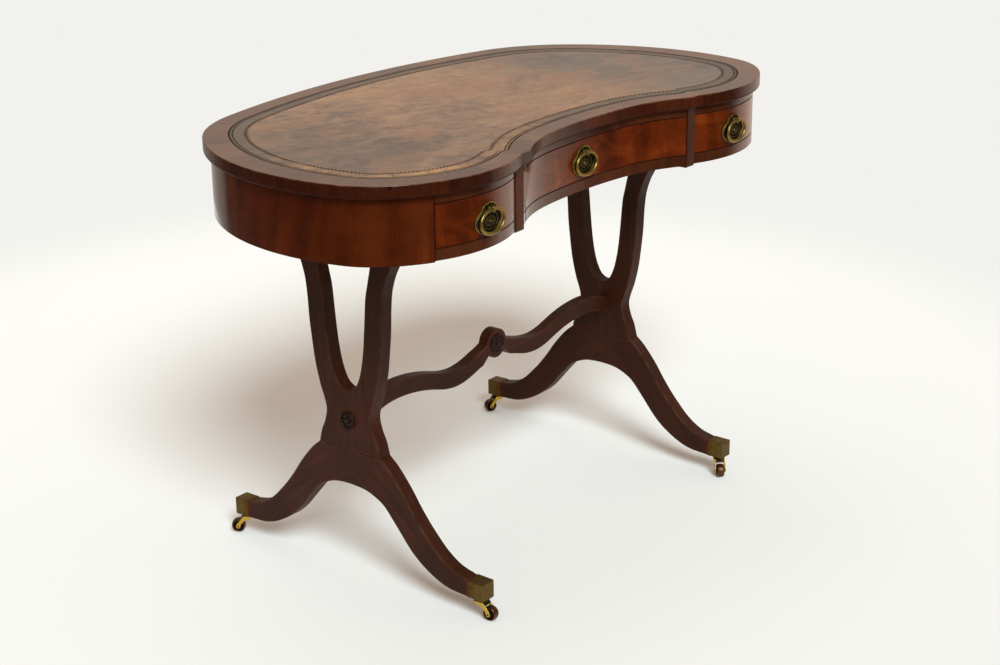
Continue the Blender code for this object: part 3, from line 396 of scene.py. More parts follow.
def leather_finish():
    """Old hide, rubbed tan in the middle and darkened by ink and hands round it."""
    material, hide = finish("tooled_leather")
    along, inward, _ = hide.parts(hide.grain_map())
    at = hide.place()
    x, y, _ = hide.parts(at)
    patches = hide.noise(at, (4.0, 6.0, 1.0), 4.0, 0.6, 0.8)
    rubs = hide.noise(at, (15.0, 26.0, 1.0), 5.0, 0.68, 1.4, (0.0, 0.0, 0.5))
    mottle = hide.noise(at, 55.0, 5.0, 0.7, 0.5)
    grain = hide.cells("F1", {"Vector": at, "Scale": 900.0, "Randomness": 1.0})
    turned = hide.stretched(at, (1.0, 1.0, 1.0), (0.0, 0.0, 0.40))
    wisps = hide.noise(turned, (9.0, 44.0, 1.0), 5.0, 0.70, 0.8)
    level = patches * 0.58 + rubs * 0.48 + wisps * 0.42 + mottle * 0.58 - 0.52
    tanned = hide.hues(level, (0.28, tone(104, 80, 65)), (0.45, tone(134, 101, 78)),
                       (0.58, tone(152, 115, 87)), (0.76, tone(172, 132, 96)))
    dark_left = hide.hues(level, (0.30, tone(82, 65, 54)), (0.50, tone(110, 86, 68)),
                          (0.74, tone(140, 106, 77)))
    grey_right = hide.hues(level, (0.30, tone(78, 70, 63)), (0.50, tone(104, 90, 79)),
                           (0.74, tone(130, 107, 88)))
    drift = (rubs - 0.5) * 0.30 + (patches - 0.5) * 0.30
    panel = hide.blend(hide.ramp(x + drift, -0.20, -0.38), tanned, dark_left)
    panel = hide.blend(hide.ramp(x + drift, 0.16, 0.36), panel, grey_right)
    front_shade = hide.ramp(y - x * 0.25 + drift * 0.5, 0.00, -0.12) * hide.ramp(x, -0.05, -0.22)
    panel = hide.blend(front_shade * 0.4, panel, dark_left)
    warmth = hide.noise(at, (8.0, 15.0, 1.0), 4.0, 0.6, 0.6, (0.0, 0.0, 0.25))
    panel = hide.blend(hide.ramp(warmth, 0.46, 0.66) * 0.34, panel, tone(158, 104, 72))
    tan_band = hide.hues(level, (0.34, tone(98, 70, 50)), (0.50, tone(138, 100, 68)),
                         (0.70, tone(184, 134, 84)))
    grey_band = hide.hues(level, (0.32, tone(74, 58, 46)), (0.70, tone(110, 86, 66)))
    tan_part = hide.ramp(y, 0.10, -0.10) * hide.ramp(x + drift, 0.06, -0.16) * 0.9
    border = hide.blend(tan_part, grey_band, tan_band)
    colour = hide.blend(hide.ramp(inward, rope_inward - 0.0006, rope_inward + 0.0006), border, panel)
    sway = hide.sum("SINE", along * (math.tau / rope_pitch), 0.0) * 0.0025 + (mottle - 0.5) * 0.0040
    rubbed = hide.ramp(hide.noise(at, 22.0, 3.0, 0.6), 0.30, 0.50)
    seam = hide.near(inward + sway, rope_inward, 0.0029)
    colour = hide.blend(seam * (rubbed * 0.45 + 0.50), colour, tone(32, 22, 15))
    fillet = hide.near(inward + (mottle - 0.5) * 0.003, fillet_inward, 0.0019)
    colour = hide.blend(fillet * (rubbed * 0.3 + 0.6), colour, tone(34, 23, 16))
    # The hide's edge darkened, together with painted shade of the gap at the bed's edge.
    joint = hide.ramp(inward, 0.0030, 0.0010)
    colour = hide.blend(joint * 0.92, colour, tone(20, 13, 9))
    strips = {"W": along, "Scale": border_strips_per_metre, "Randomness": 0.6}
    strip_ends = hide.cells("DISTANCE_TO_EDGE", strips, "1D")
    on_border = hide.ramp(inward, rope_inward + 0.0005, rope_inward - 0.0005)
    strip_joint = hide.ramp(strip_ends, 0.0060, 0.0020) * on_border
    colour = hide.blend(strip_joint * 0.7, colour, tone(48, 34, 25))
    specks = hide.ramp(hide.noise(at, 130.0, 2.0, 0.5), 0.70, 0.78)
    colour = hide.blend(specks * 0.45, colour, tone(52, 38, 30))
    cracks = hide.cells("DISTANCE_TO_EDGE", {
        "Vector": hide.stretched(at, (60.0, 150.0, 1.0), (0.0, 0.0, 0.3)), "Scale": 1.0})
    crease = hide.ramp(cracks, 0.05, 0.0) * hide.ramp(rubs, 0.5, 0.7)
    colour = hide.blend(crease * 0.18, colour, tone(50, 36, 28))
    relief = grain * 0.35 + mottle * 0.4 - crease * 0.3
    lines = hide.sum("MAXIMUM", hide.sum("MAXIMUM", seam, fillet), joint)
    surface(material, hide, colour, mottle * 0.20 + 0.50, relief, 0.00025,
            {"Specular IOR Level": 0.06, "Coat Weight": 0.78 - lines * 0.75,
             "Coat Roughness": 0.44, "Coat IOR": 1.5})
    return material


# The sheet's section: (in from the edge of the bed, height), with a groove for each tooled line.
leather_gap = 0.0004
leather_profile = [(leather_gap, top_height - bed_depth + 0.0002), (leather_gap, leather_top - 0.0006),
                   (0.0007, leather_top - 0.0002), (0.0012, leather_top)]
for middle, half_width, depth in ((fillet_inward, 0.0007, 0.00028), (rope_inward, 0.0009, 0.0003)):
    leather_profile += [(middle - half_width * 1.6, leather_top), (middle - half_width, leather_top - depth),
                        (middle + half_width, leather_top - depth), (middle + half_width * 1.6, leather_top)]
leather_profile += [(0.036, leather_top), (0.055, leather_top)]
leather_rings = [[(p.x, p.y, z) for p in leather_ring(extra)] for extra, z in leather_profile]
leather = shell("leather_tooled", leather_rings, lengths_along(leather_ring(0.0), True),
                [extra for extra, _ in leather_profile])
polish(leather, leather_finish())
fit(leather, "desk", "leather", "leather_inset")


def gilt_finish():
    """Rope tooling: the roll's blackened gold, mostly rubbed away."""
    material, gilt = finish("rope_tooling")
    rub = gilt.noise(gilt.place(), 30.0, 4.0, 0.6)
    colour = gilt.blend(gilt.ramp(rub, 0.54, 0.76), tone(26, 17, 11), tone(80, 56, 30))
    surface(material, gilt, colour, 0.85, fixed={"Specular IOR Level": 0.08})
    return material


rope_lobe_length, rope_lobe_half_width, rope_lobe_sway, rope_lobe_slant = 0.0068, 0.0006, 0.0014, 0.0036


def rope_stamp():
    """One lobe of the rope roll: a short slanted S, raised a hair over the leather."""
    bm = bmesh.new()
    rows = []
    for step in range(7):
        share = step / 6 - 0.5
        sideways = math.sin(share * math.tau) * rope_lobe_sway + share * rope_lobe_slant
        middle = Vector((share * rope_lobe_length, sideways, 0.0))
        half = rope_lobe_half_width * (1.2 - abs(share) * 1.3)
        rows.append([bm.verts.new(middle + Vector((0, side * half, height)))
                     for side, height in ((-1, -0.0001), (-0.5, 0.00009), (0.5, 0.00009), (1, -0.0001))])
    for first, second in zip(rows, rows[1:]):
        for index in range(4):
            after = (index + 1) % 4
            bm.faces.new((first[index], first[after], second[after], second[index]))
    bm.faces.new(rows[0])
    bm.faces.new(list(reversed(rows[-1])))
    bmesh.ops.recalc_face_normals(bm, faces=bm.faces)
    return object_from(bm, "rope_stamp")


def baked(holder, name):
    """The evaluated pattern as a plain mesh, in place of the object that held its modifier."""
    bpy.context.view_layer.update()
    evaluated = holder.evaluated_get(bpy.context.evaluated_depsgraph_get())
    mesh = bpy.data.meshes.new_from_object(evaluated)
    bpy.data.objects.remove(holder)
    mesh.name = name
    pieces = bpy.data.objects.new(name, mesh)
    bpy.context.collection.objects.link(pieces)
    return pieces


def along_path(name, path, stamp, material, spacing):
    """The stamp repeated round a closed path by Geometry Nodes, as one plain mesh."""
    line = bpy.data.meshes.new(name)
    edges = [(index, (index + 1) % len(path)) for index in range(len(path))]
    line.from_pydata([tuple(p) for p in path], edges, [])
    holder = bpy.data.objects.new(name, line)
    bpy.context.collection.objects.link(holder)
    group = bpy.data.node_groups.new(name + "_pattern", "GeometryNodeTree")
    kinds = {"Path": "NodeSocketGeometry", "Stamp": "NodeSocketObject", "Spacing": "NodeSocketFloat",
             "Finish": "NodeSocketMaterial"}
    for label, kind in kinds.items():
        group.interface.new_socket(label, in_out="INPUT", socket_type=kind)
    group.interface.new_socket("Pieces", in_out="OUTPUT", socket_type="NodeSocketGeometry")
    works = Recipe(group)
    inputs = works.node("NodeGroupInput").socket.node.outputs
    given = {socket.name: Shade(works, socket) for socket in inputs if socket.name}
    curve = works.node("GeometryNodeMeshToCurve", {}, {"Mesh": given["Path"]})
    points = works.node("GeometryNodeCurveToPoints", {"mode": "LENGTH"},
                        {"Curve": curve, "Length": given["Spacing"]})
    turned = works.node("FunctionNodeAlignRotationToVector", {"axis": "X"},
                        {"Vector": Shade(works, points.socket.node.outputs["Tangent"])})
    model = works.node("GeometryNodeObjectInfo", {}, {"Object": given["Stamp"]}).socket.node.outputs
    placed = works.node("GeometryNodeInstanceOnPoints", {}, {
        "Points": points, "Instance": Shade(works, model["Geometry"]), "Rotation": turned})
    real = works.node("GeometryNodeRealizeInstances", {}, {"Geometry": placed})
    done = works.node("GeometryNodeSetMaterial", {}, {"Geometry": real, "Material": given["Finish"]})
    works.node("NodeGroupOutput", {}, {0: done})
    pattern = holder.modifiers.new("pattern", "NODES")
    pattern.node_group = group
    sockets = {item.name: item.identifier for item in group.interface.items_tree if item.in_out == "INPUT"}
    for label, value in (("Stamp", stamp), ("Spacing", spacing), ("Finish", material)):
        pattern[sockets[label]] = value
    return baked(holder, name)


rope_path = [Vector((p.x, p.y, leather_top - 0.00018)) for p in leather_ring(rope_inward)]
rope = along_path("leather_rope_tooling", rope_path, rope_stamp(), gilt_finish(), rope_pitch)
rope.data.shade_smooth()
fit(rope, "desk", "leather")

# Frieze: the bent front and band under the top, veneered in flame mahogany laid upright. Plain
# rails run over and under the drawers, and two flat stiles stand a little proud between them.
frieze_inset, frieze_thickness, rail_depth = 0.0115, 0.018, 0.030
frieze_under, drawer_floor, drawer_ceiling = 0.6195, 0.638, 0.7065
frieze_ceiling = top_under - 0.0003
frieze_drop = 0.002
joint_gap = 0.0003
end_joint_x = 0.442
# Where the boards' figure starts on their sheets of veneer, in metres
band_start, upper_rail_start, stile_start = 4.0, 7.0, 10.0
face_arris = 0.0006
# Dirt and painted shade of the gaps reach this far in from the edges of a face.
grime_and_gap_shade_reach = 0.0012


def front_run(inset):
    """The whole drawer side from the left end to the right."""
    outer = outer_run(inset)
    widest = max(range(len(outer)), key=lambda index: outer[index].x)
    right = hollow_run(inset) + list(reversed(outer[widest:]))
    return mirrored(right)[:-1] + right


def crossing(first, second, x):
    """The point at this x on the line through two points."""
    return first.lerp(second, (x - first.x) / (second.x - first.x))


def front_between(inset, low_x, high_x):
    """The drawer side cut off square at two values of x."""
    run = front_run(inset)
    cut = []
    for first, second in zip(run, run[1:]):
        if first.x <= low_x < second.x:
            cut.append(crossing(first, second, low_x))
        if low_x < second.x < high_x:
            cut.append(second.copy())
        if first.x < high_x <= second.x:
            cut.append(crossing(first, second, high_x))
    return cut


def back_run(inset):
    """From the left joint of the front, round the back, to the right joint."""
    outer = outer_run(inset)
    widest = max(range(len(outer)), key=lambda index: outer[index].x)
    joint_x = end_joint_x + joint_gap / 2
    right = []
    for index, point in enumerate(outer):
        if index > widest and point.x < joint_x:
            right.append(crossing(outer[index - 1], point, joint_x))
            break
        right.append(point)
    return mirrored(right)[:-1] + right


def spaced(points, places):
    """Points at these distances along a line."""
    run = lengths_along(points)
    found = []
    for place in places:
        index = 1
        while index < len(run) - 1 and run[index] < place:
            index += 1
        share = (place - run[index - 1]) / max(run[index] - run[index - 1], 1e-9)
        found.append(points[index - 1].lerp(points[index], min(max(share, 0.0), 1.0)))
    return found


def bent_board(name, face, back, low, high, start=0.0):
    """A board bent between two lines in plan, its face's arrises rounded. Its grain map runs up the
    face and along it from a start on the veneer. Its grime and gap shade mark is 1 at the face's four
    edges, where dirt and painted shade of the gaps darken it."""
    reach = lengths_along(face)[-1]
    count = max(6, round(reach / plan_step))
    clear = grime_and_gap_shade_reach * 1.6
    inner = [reach * k / count for k in range(1, count) if clear < reach * k / count < reach - clear]
    places = [0.0, face_arris, grime_and_gap_shade_reach] + inner + [reach - grime_and_gap_shade_reach, reach - face_arris, reach]
    back_share = lengths_along(back)[-1] / reach
    front_points = spaced(face, places)
    back_points = spaced(back, [place * back_share for place in places])
    profile = [(inset, low + rise) for inset, rise in rounded(face_arris, 3)]
    clean_points = (len(profile), len(profile) + 1)
    profile += [(0.0, low + grime_and_gap_shade_reach), (0.0, high - grime_and_gap_shade_reach)]
    profile += [(inset, high - drop) for inset, drop in reversed(rounded(face_arris, 3))]
    across = [z for _, z in profile] + [high + 0.01, low - 0.01]
    rings = []
    for number, (near, far) in enumerate(zip(front_points, back_points)):
        depth = (far - near).length
        pull = face_arris * 0.7 if number in (0, len(places) - 1) else 0.0
        ring = [(*near.lerp(far, (inward + pull) / depth), z) for inward, z in profile]
        rings.append(ring + [(far.x, far.y, high), (far.x, far.y, low)])

    def grime(number, index):
        return 0.0 if 2 <= number <= len(places) - 3 and index in clean_points else 1.0

    return shell(name, rings, across + across[:1], [start + place for place in places], {"grime": grime},
                 swapped=True)


def veneer_finish(name, bright, flamed, hues):
    """Flame mahogany veneer laid upright, polished, with dirt and painted gap shade along its edges. Hues run
    dark to light.
    """
    material, wood = finish(name)
    at = wood.grain_map()
    along, height, _ = wood.parts(at)
    wander = wood.noise(at, (5.0, 7.0, 1.0), 3.0, 0.5)
    swept = wood.node("ShaderNodeCombineXYZ", {},
                      {"X": along + wander * 0.030 + height * 0.12, "Y": height})
    bands = wood.noise(swept, (22.0, 3.0, 1.0), 3.0, 0.55, 0.4)
    broad = wood.noise(wood.stretched(at, (5.0, 2.0, 1.0), shift=(3.0, 1.0, 0.0)), 1.0, 2.0, 0.5)
    flame = wood.noise(swept, (12.0, 26.0, 1.0), 4.0, 0.6, 1.6, (0.0, 0.0, 0.35))
    fibres = wood.noise(swept, (900.0, 34.0, 1.0), 4.0, 0.6)
    level = bands * 0.46 + broad * 0.36 + (flame - 0.5) * flamed + fibres * 0.20 - 0.01 + bright
    colour = wood.hues(level, *zip((0.26, 0.42, 0.56, 0.74), hues))
    pores = wood.ramp(wood.noise(swept, (2400.0, 150.0, 1.0), 2.0, 0.5), 0.64, 0.71)
    colour = wood.blend(pores * 0.30, colour, tone(26, 8, 3))
    # Dirt and painted shade of the gaps darken the face along its edges, where the polish is thinner too.
    dirt = wood.mark("grime")
    colour = wood.blend(wood.ramp(dirt, 0.35, 1.0) * 0.7, colour, tone(26, 11, 6))
    smudge = wood.noise(wood.place(), 14.0, 4.0, 0.6)
    surface(material, wood, colour, smudge * 0.20 + 0.40, fibres * 0.4 - pores * 0.5, 0.00004,
            {"Specular IOR Level": 0.06, "Coat Weight": 1.0 - wood.ramp(dirt, 0.2, 0.8) * 0.9,
             "Coat Roughness": 0.13, "Coat IOR": 1.5})
    return material


frieze_veneer = veneer_finish("frieze_veneer", 0.0, 0.18, (
    tone(40, 10, 0), tone(62, 18, 0), tone(84, 31, 4), tone(112, 52, 14)))
drawer_veneer = veneer_finish("drawer_veneer", 0.02, 0.42, (
    tone(42, 11, 0), tone(68, 20, 0), tone(96, 33, 1), tone(130, 58, 14)))
rail_veneer = veneer_finish("rail_veneer", 0.0, 0.12, (
    tone(42, 15, 4), tone(60, 25, 9), tone(78, 36, 15), tone(98, 48, 24)))

band = bent_board("frieze_band_veneered", back_run(frieze_inset), back_run(frieze_inset + frieze_thickness),
                  frieze_under - frieze_drop, frieze_ceiling, band_start)
polish(band, frieze_veneer, 50.0)
fit(band, "desk", "frieze_veneer", "frieze_band")

stile_inset = frieze_inset - 0.0015
stile_inner_x = hollow_run(stile_inset)[-1].x
stile_outer_x = outer_run(stile_inset)[-1].x
centre_half = stile_inner_x - joint_gap
end_span = (stile_outer_x + joint_gap, end_joint_x - joint_gap / 2)
spans = {"left": (-end_span[1], -end_span[0]), "center": (-centre_half, centre_half), "right": end_span}
for label, (low_x, high_x) in spans.items():
    face = front_between(frieze_inset, low_x, high_x)
    behind = front_between(frieze_inset + rail_depth, low_x, high_x)
    for rail, low, high, start in (("lower", frieze_under, drawer_floor, low_x),
                                   ("upper", drawer_ceiling, frieze_ceiling, upper_rail_start + low_x)):
        board = bent_board(rail + "_rail_" + label + "_veneered", face, behind, low, high, start)
        polish(board, rail_veneer, 50.0)
        fit(board, "desk", "frieze_veneer", rail + "_rail_" + label)

sides = ((-1, "left"), (1, "right"))
stile_drop, stile_round = 0.0035, 0.002
stile_back_y = hollow_run(frieze_inset + rail_depth)[-1].y - joint_gap
for side, label in sides:
    near = Vector((side * stile_inner_x, hollow_run(stile_inset)[-1].y))
    far = Vector((side * stile_outer_x, outer_run(stile_inset)[-1].y))
    corners = [near, far, Vector((far.x, stile_back_y)), Vector((near.x, stile_back_y))]
    levels = [(frieze_under - stile_drop, stile_round), (frieze_under - stile_drop + stile_round, 0.0),
              (frieze_ceiling, 0.0)]
    rings = [[(p.x, min(p.y + pull, stile_back_y), z) for p in corners] for z, pull in levels]
    around = [stile_start + side * x for x in (stile_inner_x, stile_outer_x, stile_outer_x + 0.02,
                                               stile_inner_x, stile_inner_x)]
    stile = shell("stile_" + label + "_veneered", rings, around, [z for z, _ in levels],
                  {"grime": lambda number, index: 0.0})
    polish(stile, rail_veneer, 50.0, 0.0007)
    fit(stile, "desk", "frieze_veneer", "stile_" + label)

# Drawers: each front is bent like the frieze and veneered in the brightest of the flame. Behind it
# are oak sides and a pine bottom, grooved and pinned, and plain boards to run on and between.
drawer_line, drawer_front_thickness = 0.0006, 0.020
figure_starts = {"left": 20.0, "center": 23.35, "right": 27.1}
for label, (low_x, high_x) in spans.items():
    line = drawer_line - joint_gap
    face = front_between(frieze_inset, low_x + line, high_x - line)
    behind = front_between(frieze_inset + drawer_front_thickness, low_x + line, high_x - line)
    front = bent_board("drawer_" + label + "_front_veneered", face, behind, drawer_floor + drawer_line,
                       drawer_ceiling - drawer_line, figure_starts[label])
    polish(front, drawer_veneer, 50.0)
    fit(front, "drawer_" + label, "frieze_veneer", "drawer_" + label + "_front")


def plain_wood(name, turn, pale, dark, pore_colour):
    """Plain boards for the inside: straight grain, dry, and darker in dusty patches."""
    material, wood = finish(name)
    at = wood.stretched(wood.place(), (1.0, 1.0, 1.0), turn)
    rings = wood.noise(at, (1.6, 34.0, 34.0), 3.0, 0.55, 0.7)
    fibres = wood.noise(at, (26.0, 700.0, 700.0), 4.0, 0.65)
    colour = wood.hues(rings * 0.6 + fibres * 0.4, (0.30, dark), (0.70, pale))
    pores = wood.ramp(wood.noise(at, (60.0, 1500.0, 1500.0), 2.0, 0.5), 0.62, 0.70)
    colour = wood.blend(pores * 0.5, colour, pore_colour)
    age = wood.noise(wood.place(), 6.0, 4.0, 0.6)
    colour = wood.blend(wood.ramp(age, 0.45, 0.75) * 0.35, colour, pore_colour)
    surface(material, wood, colour, age * 0.2 + 0.55, fibres * 0.5 - pores * 0.8, 0.0002)
    return material


oak = plain_wood("drawer_oak", (0.0, 0.0, math.radians(90)),
                 tone(172, 130, 86), tone(124, 86, 52), tone(84, 56, 34))
pine = plain_wood("drawer_pine", (0.0, 0.0, 0.0), tone(190, 150, 102), tone(150, 108, 66), tone(104, 70, 40))
for label in spans:
    for node, wood in (("_box", oak), ("_bottom", pine)):
        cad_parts["drawer_" + label + node].material_slots[0].material = wood
for node in ("dust_board", "partition_left", "partition_right"):
    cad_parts[node].material_slots[0].material = oak
for node in ("bearer_left", "bearer_right"):
    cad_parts[node].material_slots[0].material = pine

# Pedestals: lyre shaped boards on arched shoes with two sabre legs each, sawn from solid mahogany
# and stained dark, with rubbed arrises that are painted paler, also as a painted highlight. A wavy
# stretcher with a roundel ties them together.
pedestal_x, pedestal_thickness = 0.3555, 0.026
shoe_top, lyre_half_width = 0.2272, 0.124
wood_arris = 0.0013
shoe_half_span, toe_under = 0.2465, 0.0355
lyre_side_shares = (
    (0.540, 0.000), (0.492, 0.057), (0.427, 0.103), (0.387, 0.156), (0.416, 0.203), (0.484, 0.264),
    (0.556, 0.358), (0.600, 0.460), (0.629, 0.545), (0.645, 0.640), (0.669, 0.713), (0.706, 0.760),
    (0.752, 0.800), (0.815, 0.838), (0.880, 0.874), (0.944, 0.925), (1.000, 1.000))
lyre_gap_shares = (
    (0.590, 1.000), (0.532, 0.899), (0.484, 0.838), (0.415, 0.744), (0.377, 0.687), (0.345, 0.575),
    (0.305, 0.455), (0.245, 0.360), (0.165, 0.298), (0.082, 0.272), (0.000, 0.265))
shoe_back_shares = (
    (0.272, 1.000), (0.337, 0.931), (0.407, 0.832), (0.467, 0.734), (0.522, 0.632), (0.589, 0.520),
    (0.659, 0.418), (0.760, 0.290), (0.874, 0.199), (1.000, 0.156))
shoe_belly_shares = (
    (1.000, 0.000), (0.825, 0.019), (0.675, 0.097), (0.533, 0.228), (0.394, 0.431), (0.297, 0.569),
    (0.211, 0.634), (0.122, 0.670), (0.000, 0.681))
wave_shares = (
    (0.111, 0.594), (0.158, 0.425), (0.210, 0.218), (0.257, 0.080), (0.307, 0.005), (0.355, 0.015),
    (0.409, 0.120), (0.453, 0.274), (0.511, 0.500), (0.560, 0.670), (0.613, 0.810), (0.672, 0.925),
    (0.745, 0.995), (0.810, 0.980), (0.870, 0.880), (0.935, 0.660), (1.000, 0.390))


def curve_through(points, per_span=6):
    """A smooth line through chosen points."""
    knots = [points[0] * 2 - points[1]] + list(points) + [points[-1] * 2 - points[-2]]
    run = []
    for index in range(1, len(knots) - 2):
        before, start, end, after = knots[index - 1:index + 3]
        for step in range(per_span):
            t = step / per_span
            run.append((start * 2 + (end - before) * t + (before * 2 - start * 5 + end * 4 - after) * t ** 2
                        + (start * 3 - before - end * 3 + after) * t ** 3) / 2)
    run.append(knots[-2].copy())
    return run


def drawn_in(outline, distance):
    """A closed outline moved inward, its corners kept."""
    moved = []
    area = sum(a.x * b.y - b.x * a.y for a, b in zip(outline, outline[1:] + outline[:1]))
    side = 1 if area > 0 else -1
    for index, point in enumerate(outline):
        first = (point - outline[index - 1]).normalized()
        second = (outline[(index + 1) % len(outline)] - point).normalized()
        inward = Vector((-(first.y + second.y), first.x + second.x)) * side
        spread = max(inward.length_squared / 4, 0.35)
        moved.append(point + inward / 2 * (distance / spread))
    return moved


def cleared(outline, reach):
    """A closed outline without the points that crowd its sharp corners."""
    sharp = []
    for index, point in enumerate(outline):
        first = point - outline[index - 1]
        second = outline[(index + 1) % len(outline)] - point
        sharp.append(first.angle(second) > math.radians(40))
    corners = [point for point, is_sharp in zip(outline, sharp) if is_sharp]
    return [point for point, is_sharp in zip(outline, sharp)
            if is_sharp or all((point - corner).length > reach for corner in corners)]


def sawn_board(name, outline, low, high, across, arris=wood_arris, wear_and_highlight_reach=0.0040):
    """A board of this outline, its arrises rounded and marked for rubbed wear and a painted highlight. The
    function across turns (u, v, depth) into a point."""
    outline = cleared(outline, wear_and_highlight_reach * 1.5)
    face = [(wear_and_highlight_reach, 0.0, 0.0)] + [(inset, depth, 1.0) for inset, depth in rounded(arris, 4)]
    face += [(0.0, wear_and_highlight_reach, 0.0)]
    section = [(inset, low + depth, wear) for inset, depth, wear in face]
    section += [(inset, high - depth, wear) for inset, depth, wear in reversed(face)]
    rings = [[across(p.x, p.y, depth) for p in drawn_in(outline, inset)] for inset, depth, _ in section]
    return shell(name, rings, lengths_along(outline, True), [depth for _, depth, _ in section],
                 {"wear": lambda number, index: section[number][2]})


def solid_mahogany(name, grain_turn, mirrored_y=False):
    """Stained mahogany with its grain along the board, darker in its pores, its arrises painted paler for
    rubbed wear and a painted highlight.
    """
    material, wood = finish(name)
    at = wood.place()
    if mirrored_y:
        x, y, z = wood.parts(at)
        either_way = wood.sum("ABSOLUTE", y - plan_shift, 0.0)
        at = wood.node("ShaderNodeCombineXYZ", {}, {"X": x, "Y": either_way, "Z": z})
    at = wood.stretched(at, (1.0, 1.0, 1.0), grain_turn)
    streaks = wood.noise(at, (90.0, 90.0, 5.0), 4.0, 0.6, 0.5)
    fibres = wood.noise(at, (900.0, 900.0, 30.0), 4.0, 0.6)
    clouds = wood.noise(at, 9.0, 3.0, 0.5)
    level = streaks * 0.45 + clouds * 0.35 + fibres * 0.30 - 0.05
    colour = wood.hues(level, (0.30, tone(36, 14, 5)), (0.52, tone(55, 24, 10)), (0.75, tone(78, 37, 18)))
    pores = wood.ramp(wood.noise(at, (2200.0, 2200.0, 130.0), 2.0, 0.5), 0.63, 0.70)
    colour = wood.blend(pores * 0.4, colour, tone(20, 10, 7))
    # Arrises painted paler: rubbed wear, and a painted highlight along them.
    rub = wood.mark("wear") * wood.ramp(wood.noise(wood.place(), 38.0, 4.0, 0.6), 0.36, 0.62)
    colour = wood.blend(rub * 0.32, colour, tone(100, 60, 38))
    smudge = wood.noise(wood.place(), 22.0, 4.0, 0.6)
    surface(material, wood, colour, smudge * 0.24 + 0.36, fibres * 0.5 - pores * 0.6, 0.00015,
            {"Specular IOR Level": 0.12})
    return material


upright_mahogany = solid_mahogany("lyre_mahogany", (0.0, 0.0, 0.0))
leg_mahogany = solid_mahogany("shoe_mahogany", (math.radians(-48), 0.0, 0.0), True)
stretcher_mahogany = solid_mahogany("stretcher_mahogany", (0.0, math.radians(90), 0.0))

lyre_base = shoe_top + joint_gap
lyre_height = frieze_under - lyre_base


def lyre_points(shares):
    """Points of a lyre from shares of its half width and its height."""
    return [Vector((lyre_half_width * w, lyre_base + lyre_height * h)) for w, h in shares]


def shoe_points(shares):
    """Points of a shoe from shares of its half span and its height."""
    return [Vector((shoe_half_span * w, toe_under + (shoe_top - toe_under) * h)) for w, h in shares]


lyre_side = curve_through(lyre_points(lyre_side_shares))
lyre_gap = lyre_points(lyre_gap_shares)
lyre_gap = curve_through(lyre_gap + mirrored(lyre_gap)[1:])
lyre_outline = lyre_side + lyre_gap + mirrored(lyre_side)
shoe_back = curve_through(shoe_points(shoe_back_shares), 8)
shoe_belly = shoe_points(shoe_belly_shares)
shoe_belly = curve_through(shoe_belly + mirrored(shoe_belly)[1:], 8)
shoe_outline = shoe_back + shoe_belly + mirrored(shoe_back)
for side, label in sides:
    middle = side * pedestal_x
    for kind, outline, wood in (("lyre_", lyre_outline, upright_mahogany),
                                ("shoe_", shoe_outline, leg_mahogany)):
        board = sawn_board(kind + label + "_sawn", outline, middle - pedestal_thickness / 2,
                           middle + pedestal_thickness / 2, lambda u, v, depth: (depth, u + plan_shift, v))
        polish(board, wood, 50.0)
        fit(board, "desk", "pedestal_wood", kind + label)

stretcher_thickness, stretcher_forward, stretcher_band = 0.021, 0.008, 0.030
stretcher_crest, stretcher_dip = 0.3048, 0.2782
roundel_height, roundel_radius = 0.310, 0.0265
stretcher_half = pedestal_x - pedestal_thickness / 2 - joint_gap
wave = curve_through([Vector((stretcher_half * x, stretcher_dip + (stretcher_crest - stretcher_dip) * h))
                      for x, h in wave_shares])


def round_corner(centre, radius, first_degrees, sweep, steps):
    """Points along an arc."""
    angles = [math.radians(first_degrees + sweep * step / steps) for step in range(steps + 1)]
    return [centre + Vector((radius * math.cos(angle), radius * math.sin(angle))) for angle in angles]


roundel_middle = Vector((0.0, roundel_height))
roundel_top = round_corner(roundel_middle, roundel_radius, 8, 82, 20)
roundel_low = round_corner(roundel_middle, roundel_radius, -90, 52, 12)
lower_edge = [p - Vector((0.0, stretcher_band / 2)) for p in wave]
upper_edge = [p + Vector((0.0, stretcher_band / 2)) for p in reversed(wave)]
right_half = roundel_low + lower_edge + upper_edge + roundel_top
stretcher_y = plan_shift - stretcher_forward
stretcher = sawn_board("stretcher_sawn", right_half + mirrored(right_half)[1:-1],
                       stretcher_y - stretcher_thickness / 2, stretcher_y + stretcher_thickness / 2,
                       lambda u, v, depth: (u, depth, v))
polish(stretcher, stretcher_mahogany, 50.0)
fit(stretcher, "desk", "pedestal_wood", "stretcher")

# Bosses: small turned and carved rosettes, glued to the outer faces of the lyres and to both faces
# of the stretcher's roundel. Each has a rolled rim round eight petals and a button.
boss_petals, boss_points = 8, 96
boss_rim, boss_button = 0.80, 0.26
boss_shares = (1.0, 1.0, 0.985, 0.955, 0.925, 0.895, 0.865, 0.835, 0.80, 0.785, 0.74, 0.68, 0.62, 0.56, 0.50,
               0.44, 0.38, 0.32, 0.275, 0.255, 0.23, 0.19, 0.13, 0.06, 0.01)


def rosette_height(share, angle):
    """How high a rosette stands, as a share of its depth, at a share of its radius and an angle: first
    the rolled rim, then the petals, then the button."""
    if share > boss_rim:
        roll = (share - 0.90) / 0.10
        return 0.34 + 0.36 * math.sqrt(max(0.0, 1 - roll * roll))
    if share > boss_button:
        petal = abs(math.cos(angle * boss_petals / 2))
        inward = (share - boss_button) / (boss_rim - boss_button)
        return 0.22 + 0.58 * (petal ** 0.7) * math.sin(math.pi * (0.12 + inward * 0.80))
    return 0.62 + 0.38 * math.sqrt(max(0.0, 1 - (share / boss_button) ** 2))


def full_turn(points):
    """Angles of evenly spaced points round a circle."""
    return [math.tau * index / points for index in range(points)]


